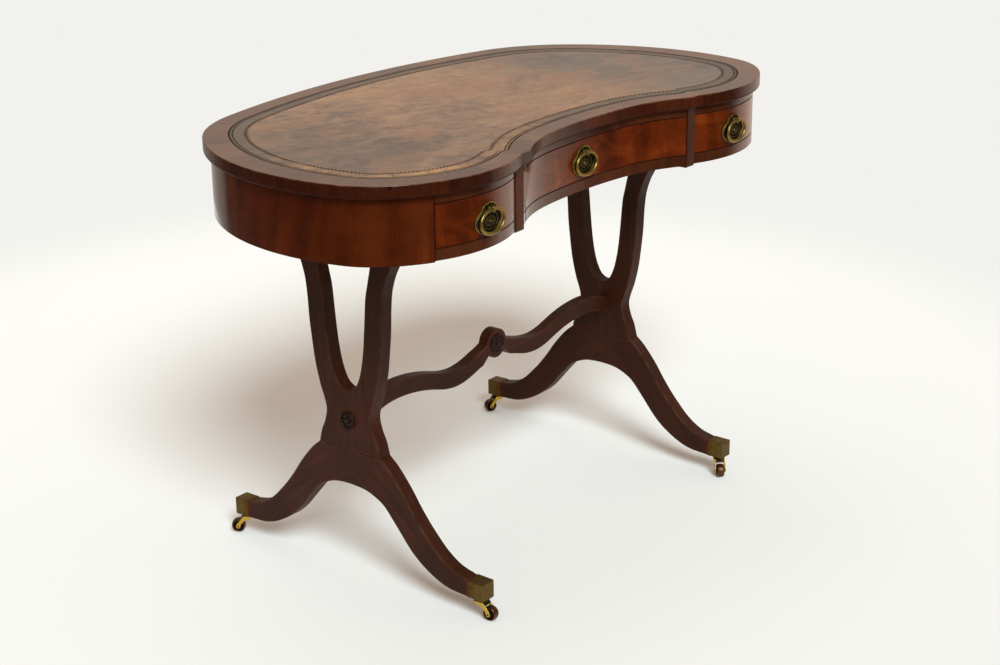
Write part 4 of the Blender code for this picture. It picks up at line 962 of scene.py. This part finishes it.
def boss(name, centre, out, across_axis, radius, depth):
    """A carved disc with its back at the centre, standing out along an axis."""
    up_axis = out.cross(across_axis)
    angles = full_turn(boss_points)
    heights = [[rosette_height(share, angle) if number else 0.0 for angle in angles]
               for number, share in enumerate(boss_shares)]
    rings = [[centre + (across_axis * math.cos(angle) + up_axis * math.sin(angle)) * radius * share
              + out * depth * height for angle, height in zip(angles, row)]
             for share, row in zip(boss_shares, heights)]
    return shell(name, rings, [radius * angle for angle in angles + [math.tau]],
                 [radius * (1 - share) for share in boss_shares],
                 {"wear": lambda number, index: max(0.0, heights[number][index] - 0.55) * 1.6})


def carved_finish():
    """The same stained wood, dark with polish in the carving, its high points painted paler for rubbed wear
    and a painted highlight.
    """
    material, wood = finish("carved_mahogany")
    at = wood.place()
    level = wood.noise(at, (300.0, 300.0, 60.0), 3.0, 0.6)
    colour = wood.hues(level, (0.35, tone(28, 14, 9)), (0.70, tone(46, 25, 17)))
    # High points painted paler: rubbed wear, and a painted highlight.
    colour = wood.blend(wood.mark("wear") * 0.4, colour, tone(58, 34, 24))
    surface(material, wood, colour, level * 0.2 + 0.42, level, 0.0001, {"Specular IOR Level": 0.14})
    return material


carved_mahogany = carved_finish()
rosette_z, rosette_radius, rosette_depth = 0.280, 0.015, 0.0062
carved_roundel_radius, carved_roundel_depth = 0.0175, 0.0045
boss_places = []
for side, label in sides:
    x = side * (pedestal_x + pedestal_thickness / 2 + joint_gap)
    boss_places.append(("rosette_" + label, Vector((x, plan_shift, rosette_z)), Vector((side, 0, 0)),
                        Vector((0, 1, 0)), rosette_radius, rosette_depth))
for side, label in ((-1, "front"), (1, "back")):
    y = stretcher_y + side * (stretcher_thickness / 2 + joint_gap)
    boss_places.append(("roundel_" + label, Vector((0, y, roundel_height)), Vector((0, side, 0)),
                        Vector((1, 0, 0)), carved_roundel_radius, carved_roundel_depth))
for node, centre, out, across_axis, radius, depth in boss_places:
    body = boss(node + "_carved", centre, out, across_axis, radius, depth)
    polish(body, carved_mahogany, 70.0)
    fit(body, "desk", "pedestal_wood", node)

# Ring handles: a stamped oval plate on each drawer, bent to its face, with a beaded rim, a fluted
# shell crest and a pierced rosette. A turned post carries the eye that the cast ring swings in.
handle_end_x = 0.3430
handle_places = (("left", -handle_end_x, 0.6622), ("center", 0.0, 0.6665), ("right", handle_end_x, 0.6650))
plate_half_width, plate_half_height = 0.033, 0.0213
crest_rise, crest_half_angle, crest_notch, crest_flutes = 0.0089, math.radians(34), 0.0011, 5
rosette_half_width, rosette_half_height, rosette_piercings = 0.0205, 0.0135, 10
ring_half_width, ring_half_height, ring_wire, ring_standoff = 0.0278, 0.0188, 0.0028, 0.0075
eye_bore, eye_radius, eye_width = 0.0033, 0.0047, 0.0060
bead_radius, bead_spacing = 0.00112, 0.00262
bead_share, bead_crest_share, bead_seat = 0.958, 0.90, 0.0013
plate_points, ring_points, wire_points = 160, 96, 20
# In from the plate's edge: share of its size, share of the crest, height off the face, depth of the
# flutes, patina.
plate_steps = (
    (0.05, 0.05, 0.0, 0.0, 1.0), (0.40, 0.40, 0.0, 0.0, 1.0), (0.72, 0.72, 0.0, 0.0, 1.0),
    (1.0, 1.0, 0.0, 0.0, 1.0), (1.0, 1.0, 0.0010, 0.0, 0.4), (0.994, 0.97, 0.0014, 0.0, 0.1),
    (0.985, 0.86, 0.0014, 0.0002, 0.3), (0.975, 0.70, 0.0016, 0.0009, 0.7),
    (0.965, 0.50, 0.0017, 0.0012, 0.9), (0.955, 0.30, 0.0016, 0.0009, 0.8),
    (0.945, 0.12, 0.0014, 0.0003, 0.6), (0.930, 0.0, 0.0012, 0.0, 0.6), (0.912, 0.0, 0.0007, 0.0, 1.0),
    (0.895, 0.0, 0.0009, 0.0, 0.8), (0.880, 0.0, 0.0017, 0.0, 0.2), (0.862, 0.0, 0.0021, 0.0, 0.0),
    (0.845, 0.0, 0.0018, 0.0, 0.2), (0.830, 0.0, 0.0010, 0.0, 0.7), (0.790, 0.0, 0.0007, 0.0, 0.9),
    (0.730, 0.0, 0.0007, 0.0, 0.8), (0.670, 0.0, 0.0010, 0.0, 1.0))
# In from the rosette's edge: share of its size, height, depth of the piercings, rise of the petals,
# patina.
rosette_steps = (
    (1.00, 0.0014, 0.0, 0.0, 0.9), (0.975, 0.0026, 0.0, 0.0, 0.4), (0.945, 0.0032, 0.0, 0.0, 0.1),
    (0.910, 0.0033, 0.0, 0.0, 0.1), (0.875, 0.0028, 0.0002, 0.0, 0.5), (0.840, 0.0026, 0.0012, 0.0, 0.6),
    (0.800, 0.0026, 0.0020, 0.0, 0.6), (0.740, 0.0026, 0.0022, 0.0, 0.6), (0.680, 0.0027, 0.0020, 0.0, 0.5),
    (0.630, 0.0028, 0.0010, 0.0002, 0.5), (0.580, 0.0028, 0.0, 0.0006, 0.6),
    (0.500, 0.0027, 0.0, 0.0010, 0.6), (0.420, 0.0028, 0.0, 0.0010, 0.6), (0.350, 0.0027, 0.0, 0.0006, 0.7),
    (0.300, 0.0026, 0.0, 0.0, 0.9), (0.265, 0.0032, 0.0, 0.0, 0.6), (0.235, 0.0044, 0.0, 0.0, 0.2),
    (0.180, 0.0053, 0.0, 0.0, 0.0), (0.110, 0.0060, 0.0, 0.0, 0.0), (0.030, 0.0062, 0.0, 0.0, 0.0))
post_profile = ((0.0001, 0.0), (0.0031, 0.0), (0.0031, 0.0010), (0.0027, 0.0016), (0.0024, 0.0022),
                (0.0024, 0.0026), (0.0001, 0.0026))
eye_lip = 0.0039
eye_profile = [(eye_bore, -eye_width / 2), (eye_lip, -eye_width / 2)]
for share in (-1.0, -0.75, -0.5, -0.25, 0.0, 0.25, 0.5, 0.75, 1.0):
    eye_profile.append((eye_radius - 0.0007 * share ** 2, share * (eye_width / 2 - 0.0003)))
eye_profile += [(eye_lip, eye_width / 2), (eye_bore, eye_width / 2)]


def over_crest(angle):
    """Where an angle falls across the crest, from -1 to 1. Beyond that it is beside the crest."""
    return ((angle + math.pi / 2) % math.tau - math.pi) / crest_half_angle


def crest_lift(angle):
    """How far the shell's lobed edge rises over the plate's oval."""
    share = over_crest(angle)
    if abs(share) >= 1:
        return 0.0
    notch = crest_notch * math.cos(math.pi * (share + 1) / 2 * crest_flutes) ** 2
    return (crest_rise - notch) * math.sqrt(1 - share ** 2)


def fluting(angle):
    """1 along the middle of each flute of the shell, 0 on the ribs and beside the crest."""
    share = over_crest(angle)
    if abs(share) >= 1:
        return 0.0
    return math.sin(math.pi * (share + 1) / 2 * crest_flutes) ** 2 * (1 - share ** 6)


def line_y(run, x):
    """Where a line in plan stands at this x."""
    for first, second in zip(run, run[1:]):
        if first.x <= x <= second.x:
            return crossing(first, second, x).y
    return run[-1].y


def stamped_plate(name, handle_x, handle_z, face):
    """The plate: rings of points in from its edge, each standing off the drawer's bent face."""
    angles = full_turn(plate_points)
    rings, patina = [], []
    for share, crest_share, height, cut, dirt in plate_steps:
        rings.append([(plate_half_width * share * math.cos(a), height - cut * fluting(a),
                       plate_half_height * share * math.sin(a) + crest_lift(a) * crest_share)
                      for a in angles])
        patina.append([0.2 + 0.8 * fluting(a) if cut and abs(over_crest(a)) < 1 else dirt for a in angles])
    for share, height, cut, petal, dirt in rosette_steps:
        ring, ring_patina = [], []
        for a in angles:
            hole = min(1.0, max(0.0, 0.6 + 1.3 * math.cos(a * rosette_piercings)))
            leaf = abs(math.cos(a * rosette_piercings / 2))
            ring.append((rosette_half_width * share * math.cos(a), height - cut * hole + petal * leaf,
                         rosette_half_height * share * math.sin(a)))
            rubbed, blackened = leaf * petal * 500, hole * cut * 400
            ring_patina.append(min(1.0, dirt * (1 - rubbed) + blackened))
        rings.append(ring)
        patina.append(ring_patina)
    placed = [[(handle_x + x, line_y(face, handle_x + x) - joint_gap - height, handle_z + z)
               for x, height, z in ring] for ring in rings]
    return shell(name, placed, [plate_half_width * a for a in angles + [math.tau]],
                 [0.001 * number for number in range(len(placed))],
                 {"patina": lambda number, index: patina[number][index]})


def turned_piece(name, profile, centre, axis, points=48, looped=False, mark=None):
    """A piece turned on a lathe: (radius, along the axis) from one end to the other."""
    side = Vector((0, 0, 1)) if abs(axis.z) < 0.5 else Vector((1, 0, 0))
    up = axis.cross(side)
    angles = full_turn(points)
    rings = [[centre + axis * along + (side * math.cos(angle) + up * math.sin(angle)) * radius
              for angle in angles] for radius, along in profile]
    widest = max(radius for radius, _ in profile)
    across = [0.0]
    for first, second in zip(profile, profile[1:] + profile[:1]):
        across.append(across[-1] + math.dist(first, second))
    return shell(name, rings, [widest * angle for angle in angles + [math.tau]], across,
                 {"patina": mark or (lambda number, index: 0.0)}, looped=looped)


def brass_finish(name, clean, dull, dark, shine, tarnish):
    """Old brass, lacquered once: clean where hands rub it, dull in patches and green-black in its hollows."""
    material, brass = finish(name)
    at = brass.place()
    patches = brass.noise(at, 120.0, 4.0, 0.6)
    spots = brass.noise(at, 700.0, 3.0, 0.6)
    hollows = brass.mark("patina")
    colour = brass.blend(brass.ramp(patches * 0.7 + spots * 0.3, 0.62 - tarnish, 0.80 - tarnish), clean, dull)
    colour = brass.blend(brass.ramp(hollows + spots * 0.3, 0.35, 1.05), colour, dark)
    scratches = brass.noise(at, (400.0, 2200.0, 900.0), 3.0, 0.6)
    surface(material, brass, colour, patches * 0.25 + hollows * 0.2 + shine, scratches + spots * 0.8, 0.00006,
            {"Metallic": 1.0})
    return material


plate_brass = brass_finish("plate_brass", tone(108, 86, 46), tone(78, 62, 31), tone(28, 22, 9), 0.34, 0.13)
ring_brass = brass_finish("ring_brass", tone(164, 132, 64), tone(118, 94, 43), tone(44, 35, 14), 0.32, 0.06)


def bead_stamp():
    """One bead of the plate's rim."""
    bm = bmesh.new()
    bmesh.ops.create_uvsphere(bm, u_segments=10, v_segments=6, radius=bead_radius)
    for face in bm.faces:
        face.smooth = True
    return object_from(bm, "bead_stamp")


drawer_face = front_run(frieze_inset)
bead = bead_stamp()
for label, handle_x, handle_z in handle_places:
    plate = stamped_plate("handle_" + label + "_plate_stamped", handle_x, handle_z, drawer_face)
    polish(plate, plate_brass, 80.0)
    fit(plate, "drawer_" + label, "old_brass", "handle_" + label + "_plate")
    rim = []
    for angle in full_turn(plate_points):
        x = handle_x + plate_half_width * bead_share * math.cos(angle)
        lift = crest_lift(angle) * bead_crest_share
        z = handle_z + plate_half_height * bead_share * math.sin(angle) + lift
        rim.append(Vector((x, line_y(drawer_face, x) - joint_gap - bead_seat, z)))
    beads = along_path("handle_" + label + "_beads", rim, bead, ring_brass, bead_spacing)
    fit(beads, "drawer_" + label, "old_brass")
    hinge = Vector((handle_x, line_y(drawer_face, handle_x) - ring_standoff, handle_z + ring_half_height))
    post = turned_piece("handle_" + label + "_post_turned", post_profile,
                        hinge + Vector((0, ring_standoff - 0.0010, 0)), Vector((0, -1, 0)), 32)
    polish(post, ring_brass, 60.0)
    eye = turned_piece("handle_" + label + "_eye_turned", eye_profile, hinge, Vector((1, 0, 0)), 40, True)
    polish(eye, ring_brass, 50.0)
    fit(eye, "drawer_" + label, "old_brass")
    fit(post, "drawer_" + label, "old_brass")
    loops = []
    for angle in full_turn(ring_points):
        middle = Vector((ring_half_width * math.sin(angle), 0, ring_half_height * (math.cos(angle) - 1)))
        along = Vector((ring_half_width * math.cos(angle), 0, -ring_half_height * math.sin(angle)))
        outward = Vector((-along.z, 0, along.x)).normalized()
        wire = ring_wire * (0.93 - 0.07 * math.cos(angle))
        loops.append([hinge + middle + (outward * math.cos(a) + Vector((0, 1, 0)) * math.sin(a)) * wire
                      for a in full_turn(wire_points)])
    ring = shell("handle_" + label + "_ring_cast", loops,
                 [ring_wire * a for a in full_turn(wire_points) + [math.tau]],
                 [0.0016 * number for number in range(ring_points + 1)],
                 {"patina": lambda number, index: 0.0}, looped=True)
    polish(ring, ring_brass, 80.0)
    fit(ring, "ring_" + label, "bright_brass", "handle_" + label + "_ring")

# Toe caps: cast brass boxes on the ends of the legs, dull and brown where they meet the wood. One
# pin holds each cap from either side.
cap_length_from, cap_length_to = 0.2468, 0.2790
cap_half_width, cap_top, cap_fall, cap_arris = 0.014, 0.0661, 0.0003, 0.0009
# Out along a cap: share of its length, patina. Then the corners of its section, by share of its size.
cap_sections = ((0.0, 1.0), (0.05, 0.8), (0.12, 0.6), (0.34, 0.40), (0.60, 0.1), (0.85, 0.0), (1.0, 0.1))
cap_corners = ((-1, 0), (-0.33, 0), (0.33, 0), (1, 0), (1, 0.33), (1, 0.67), (1, 1), (0.33, 1), (-0.33, 1),
               (-1, 1), (-1, 0.67), (-1, 0.33))
pin_back, pin_lift, pin_radius = 0.0078, 0.0025, 0.0019
pin_profile = ((0.00005, 0.0), (pin_radius, 0.0), (pin_radius, 0.00045), (pin_radius * 0.8, 0.0006),
               (0.00005, 0.00065))
cap_brass = brass_finish("cap_brass", tone(108, 86, 41), tone(80, 69, 35), tone(106, 64, 29), 0.38, 0.14)
pin_brass = brass_finish("pin_brass", tone(92, 42, 18), tone(68, 32, 14), tone(30, 20, 8), 0.50, 0.10)
desk_corners = [(side, end, label + "_" + where) for side, label in sides
                for end, where in ((-1, "front"), (1, "back"))]
for side, end, name in desk_corners:
    rings = []
    for share, _ in cap_sections:
        y = plan_shift + end * (cap_length_from + (cap_length_to - cap_length_from) * share)
        height = cap_top - cap_fall * share - toe_under
        rings.append([(side * pedestal_x + cap_half_width * x, y, toe_under + height * z)
                      for x, z in cap_corners])
    cap = shell("toe_cap_" + name + "_cast", rings,
                [0.008 * index for index in range(len(cap_corners) + 1)],
                [0.005 * number for number in range(len(cap_sections))],
                {"patina": lambda number, index: cap_sections[number][1]})
    polish(cap, cap_brass, 40.0, cap_arris, 3)
    fit(cap, "desk", "old_brass", "toe_cap_" + name)
    for face in (-1, 1):
        centre = Vector((side * pedestal_x + face * (cap_half_width - 0.0004),
                         plan_shift + end * (cap_length_from + pin_back),
                         (toe_under + cap_top) / 2 + pin_lift))
        pin = turned_piece("toe_cap_" + name + ("_outer_pin" if face == side else "_inner_pin"),
                           pin_profile, centre, Vector((face, 0, 0)), 20)
        polish(pin, pin_brass, 60.0)
        fit(pin, "desk", "old_brass")

# Castors: under each cap a brass fork turns on its stem, two horns holding a bronze wheel between
# them. The horns' faces are rounded over, and a riveted pin goes through their eyes.
castor_reach, castor_trail = 0.26405, 0.0175
wheel_radius, fork_crown_under, collar_under, fork_top = 0.0122, 0.0256, 0.0322, 0.0352
slot_half, fork_half, eye_outer, axle_radius = 0.00775, 0.01015, 0.0040, 0.0017
horn_back_shares = ((0.42, 1.00), (0.52, 0.90), (0.66, 0.74), (0.92, 0.47), (1.12, 0.26), (1.21, 0.10))
horn_front_shares = (
    (-0.52, 1.00), (-0.44, 0.84), (-0.18, 0.69), (0.13, 0.62), (0.38, 0.50), (0.60, 0.30), (0.73, 0.13))
rest_degrees = {"left_front": -83.0, "left_back": 127.0, "right_front": 222.0, "right_back": 150.0}


def horn_points(shares):
    """Points of a horn from shares of the castor's trail and of the height from hub to collar."""
    return [Vector((castor_trail * u, wheel_radius + (collar_under - wheel_radius) * h)) for u, h in shares]


def cut_above(outline, low):
    """The part of an outline above a height."""
    kept = []
    for first, second in zip(outline, outline[1:] + outline[:1]):
        if first.y >= low:
            kept.append(first)
        if (first.y < low) != (second.y < low):
            kept.append(first.lerp(second, (low - first.y) / (second.y - first.y)))
    return kept


fork_outline = curve_through(horn_points(horn_front_shares), 4)
fork_outline += round_corner(Vector((castor_trail, wheel_radius)), eye_outer, 190, 190, 16)
fork_outline += curve_through(horn_points(tuple(reversed(horn_back_shares))), 4)
horn_brass = brass_finish("horn_brass", tone(204, 164, 70), tone(168, 132, 52), tone(80, 52, 18), 0.26, 0.04)
# Painted shade: the crown and collar, under the cap, get a dark copy of the fork's brass.
crown_bronze = brass_finish("crown_bronze", tone(66, 48, 30), tone(42, 31, 20), tone(22, 15, 10), 0.50, 0.14)
crown_outline = cut_above(fork_outline, fork_crown_under)
crown_half = fork_half - 0.0004
fork_parts = (("near_horn", fork_outline, -fork_half, -slot_half, horn_brass),
              ("far_horn", fork_outline, slot_half, fork_half, horn_brass),
              ("crown", crown_outline, -crown_half, crown_half, crown_bronze))
collar_profile = (
    (0.0001, collar_under - 0.0006), (0.0090, collar_under - 0.0006), (0.0096, collar_under),
    (0.0098, collar_under + 0.0012), (0.0096, fork_top - 0.0006), (0.0090, fork_top), (0.0032, fork_top),
    (0.0032, fork_top + 0.012), (0.0001, fork_top + 0.012))
axle_half = fork_half + 0.0009
axle_end = ((0.0001, 0.0), (0.0009, 0.0001), (0.0015, 0.0004), (axle_radius, 0.0009))
axle_profile = [(radius, back - axle_half) for radius, back in axle_end]
axle_profile += [(radius, axle_half - back) for radius, back in reversed(axle_end)]
half_wheel = ((0.0020, -0.00745), (0.0046, -0.00745), (0.0050, -0.0070), (0.0050, -0.0052), (0.0056, -0.0047),
              (0.0084, -0.0047), (0.0090, -0.0052), (0.0093, -0.0061), (0.0098, -0.0065), (0.0106, -0.00645),
              (0.0113, -0.0058), (0.0118, -0.0042), (0.01215, -0.0021))
wheel_profile = half_wheel + ((wheel_radius, 0.0),) + tuple((r, -a) for r, a in reversed(half_wheel))
wheel_dirt = [1.0, 0.8, 0.6, 1.0, 1.0, 1.0, 0.9, 0.3, 0.0, 0.0, 0.1, 0.3, 0.4]
wheel_dirt = wheel_dirt + [0.4] + wheel_dirt[::-1]
wheel_bronze = brass_finish("wheel_bronze", tone(104, 70, 48), tone(72, 46, 32), tone(36, 22, 14), 0.26, 0.08)
for side, end, name in desk_corners:
    heading = math.radians(rest_degrees[name])
    forward = Vector((math.cos(heading), math.sin(heading), 0))
    axis = Vector((-forward.y, forward.x, 0))
    stem = Vector((side * pedestal_x, plan_shift + end * castor_reach, 0))
    hub = stem + forward * castor_trail + Vector((0, 0, wheel_radius))
    for part_name, outline, low, high, metal in fork_parts:
        piece = sawn_board("fork_" + name + "_" + part_name, outline, low, high,
                           lambda u, v, depth: stem + forward * u + axis * depth + Vector((0, 0, v)),
                           0.0011, 0.0016)
        polish(piece, metal, 50.0)
        nodes = ["fork_" + name] if part_name == "near_horn" else []
        fit(piece, "castor_" + name, "bright_brass", *nodes)
    collar = turned_piece("fork_" + name + "_collar", collar_profile, stem, Vector((0, 0, 1)), 40)
    polish(collar, crown_bronze, 50.0)
    fit(collar, "castor_" + name, "bright_brass")
    axle = turned_piece("axle_" + name + "_riveted", axle_profile, hub, axis, 24)
    polish(axle, pin_brass, 50.0)
    fit(axle, "castor_" + name, "bright_brass", "axle_" + name)
    wheel = turned_piece("wheel_" + name + "_cast", wheel_profile, hub, axis, 56, True,
                         lambda number, index: wheel_dirt[number])
    polish(wheel, wheel_bronze, 50.0)
    fit(wheel, "roller_" + name, "castor_bronze", "wheel_" + name)

# Room: a pale paper floor that runs out into a pale backdrop, a large soft lamp high at the front
# left and a weaker one over the back. A dark room with a sheet of paper at one side shows in the
# polish, and the camera stands at the photograph's place.
backdrop = tone(242, 241, 237)
floor_middle, floor_reach = Vector((0.30, 0.42, 0.0)), 1.75


def floor_finish():
    """Pale seamless paper that fades into the backdrop round the desk."""
    material, paper = finish("studio_paper")
    away = paper.node("ShaderNodeVectorMath", {"operation": "DISTANCE"},
                      {0: paper.place(), 1: tuple(floor_middle)}, out=1)
    edge = paper.ramp(away, floor_reach * 0.66, floor_reach * 0.98)
    camera_ray = paper.node("ShaderNodeLightPath")
    shader = material.node_tree.nodes["Principled BSDF"]
    paper.feed(shader, {"Base Color": tone(238, 236, 232), "Roughness": 0.9, "Specular IOR Level": 0.1})
    glow = paper.node("ShaderNodeEmission", {}, {"Color": backdrop, "Strength": 1.0})
    mixed = paper.node("ShaderNodeMixShader", {},
                       {0: edge * camera_ray, 1: Shade(paper, shader.outputs[0]), 2: glow})
    paper.feed(material.node_tree.nodes["Material Output"], {"Surface": mixed})
    return material


floor_mesh = bpy.data.meshes.new("studio_floor")
floor_rim = [floor_middle + Vector((math.cos(angle), math.sin(angle), 0.0)) * floor_reach
             for angle in full_turn(96)]
floor_mesh.from_pydata(floor_rim, [], [list(range(len(floor_rim)))])
floor = bpy.data.objects.new("studio_floor", floor_mesh)
bpy.context.collection.objects.link(floor)
floor_mesh.materials.append(floor_finish())

world = bpy.data.worlds.new("studio")
bpy.context.scene.world = world
world.use_nodes = True
air = Recipe(world.node_tree)
toward = air.node("ShaderNodeTexCoord", {}, {}, out=0)


def facing(degrees):
    """How far a looked-at direction leans towards this heading."""
    heading = (math.cos(math.radians(degrees)), math.sin(math.radians(degrees)), 0.0)
    return air.node("ShaderNodeVectorMath", {"operation": "DOT_PRODUCT"}, {0: toward, 1: heading}, out=1)


paper_behind = air.ramp(facing(-5), -0.01, 0.04) * air.ramp(facing(52), -0.10, 0.35)
paper_light = air.blend(air.ramp(facing(-5), 0.0, 0.66), (0.33, 0.28, 0.24, 1.0), (0.61, 0.54, 0.47, 1.0))
paper_light = air.blend(air.ramp(facing(-30), 0.35, 0.90), paper_light, (0.98, 0.80, 0.66, 1.0))
mirrored_room = air.blend(paper_behind, (0.020, 0.011, 0.006, 1.0), paper_light)
ray = air.node("ShaderNodeLightPath").socket.node.outputs
room_light = air.blend(Shade(air, ray["Is Glossy Ray"]), (0.51, 0.42, 0.345, 1.0), mirrored_room)
seen_colour = air.blend(Shade(air, ray["Is Camera Ray"]), room_light, backdrop)
air.feed(world.node_tree.nodes["Background"], {"Color": seen_colour})

key_from = Vector((-0.559, -0.829, 0.933))
key = bpy.data.lights.new("front_lamp", "SUN")
key.angle = math.radians(24)
key.energy = 3.35
key.color = (0.79, 0.93, 1.0)
over = bpy.data.lights.new("over_lamp", "AREA")
over.shape = "DISK"
over.size = 2.2
over.energy = 12.0
over_from, over_aim = Vector((0.7, 1.4, 3.2)), Vector((0.0, 0.0, 0.6))
for lamp, place, aim in ((key, key_from * 3.0, Vector()), (over, over_from, over_aim)):
    holder = bpy.data.objects.new(lamp.name, lamp)
    holder.location = place
    holder.rotation_euler = (aim - place).to_track_quat("-Z", "Y").to_euler()
    bpy.context.collection.objects.link(holder)

camera_place = Vector((-2.4389, -1.9802, 1.4507))
azimuth, elevation, roll = math.radians(-51.474), math.radians(19.749), math.radians(-0.688)
back = Vector((math.sin(azimuth) * math.cos(elevation), -math.cos(azimuth) * math.cos(elevation),
               math.sin(elevation)))
level_right = (-back).cross(Vector((0, 0, 1))).normalized()
level_up = back.cross(level_right)
right = level_right * math.cos(roll) + level_up * math.sin(roll)
up = level_up * math.cos(roll) - level_right * math.sin(roll)
view = bpy.data.cameras.new("camera")
view.sensor_width = 36.0
view.sensor_fit = "HORIZONTAL"
view.lens = 67.78
camera = bpy.data.objects.new("camera", view)
camera.matrix_world = Matrix.Translation(camera_place) @ Matrix((right, up, back)).transposed().to_4x4()
bpy.context.collection.objects.link(camera)
bpy.context.scene.camera = camera
bpy.context.scene.view_settings.view_transform = "Standard"
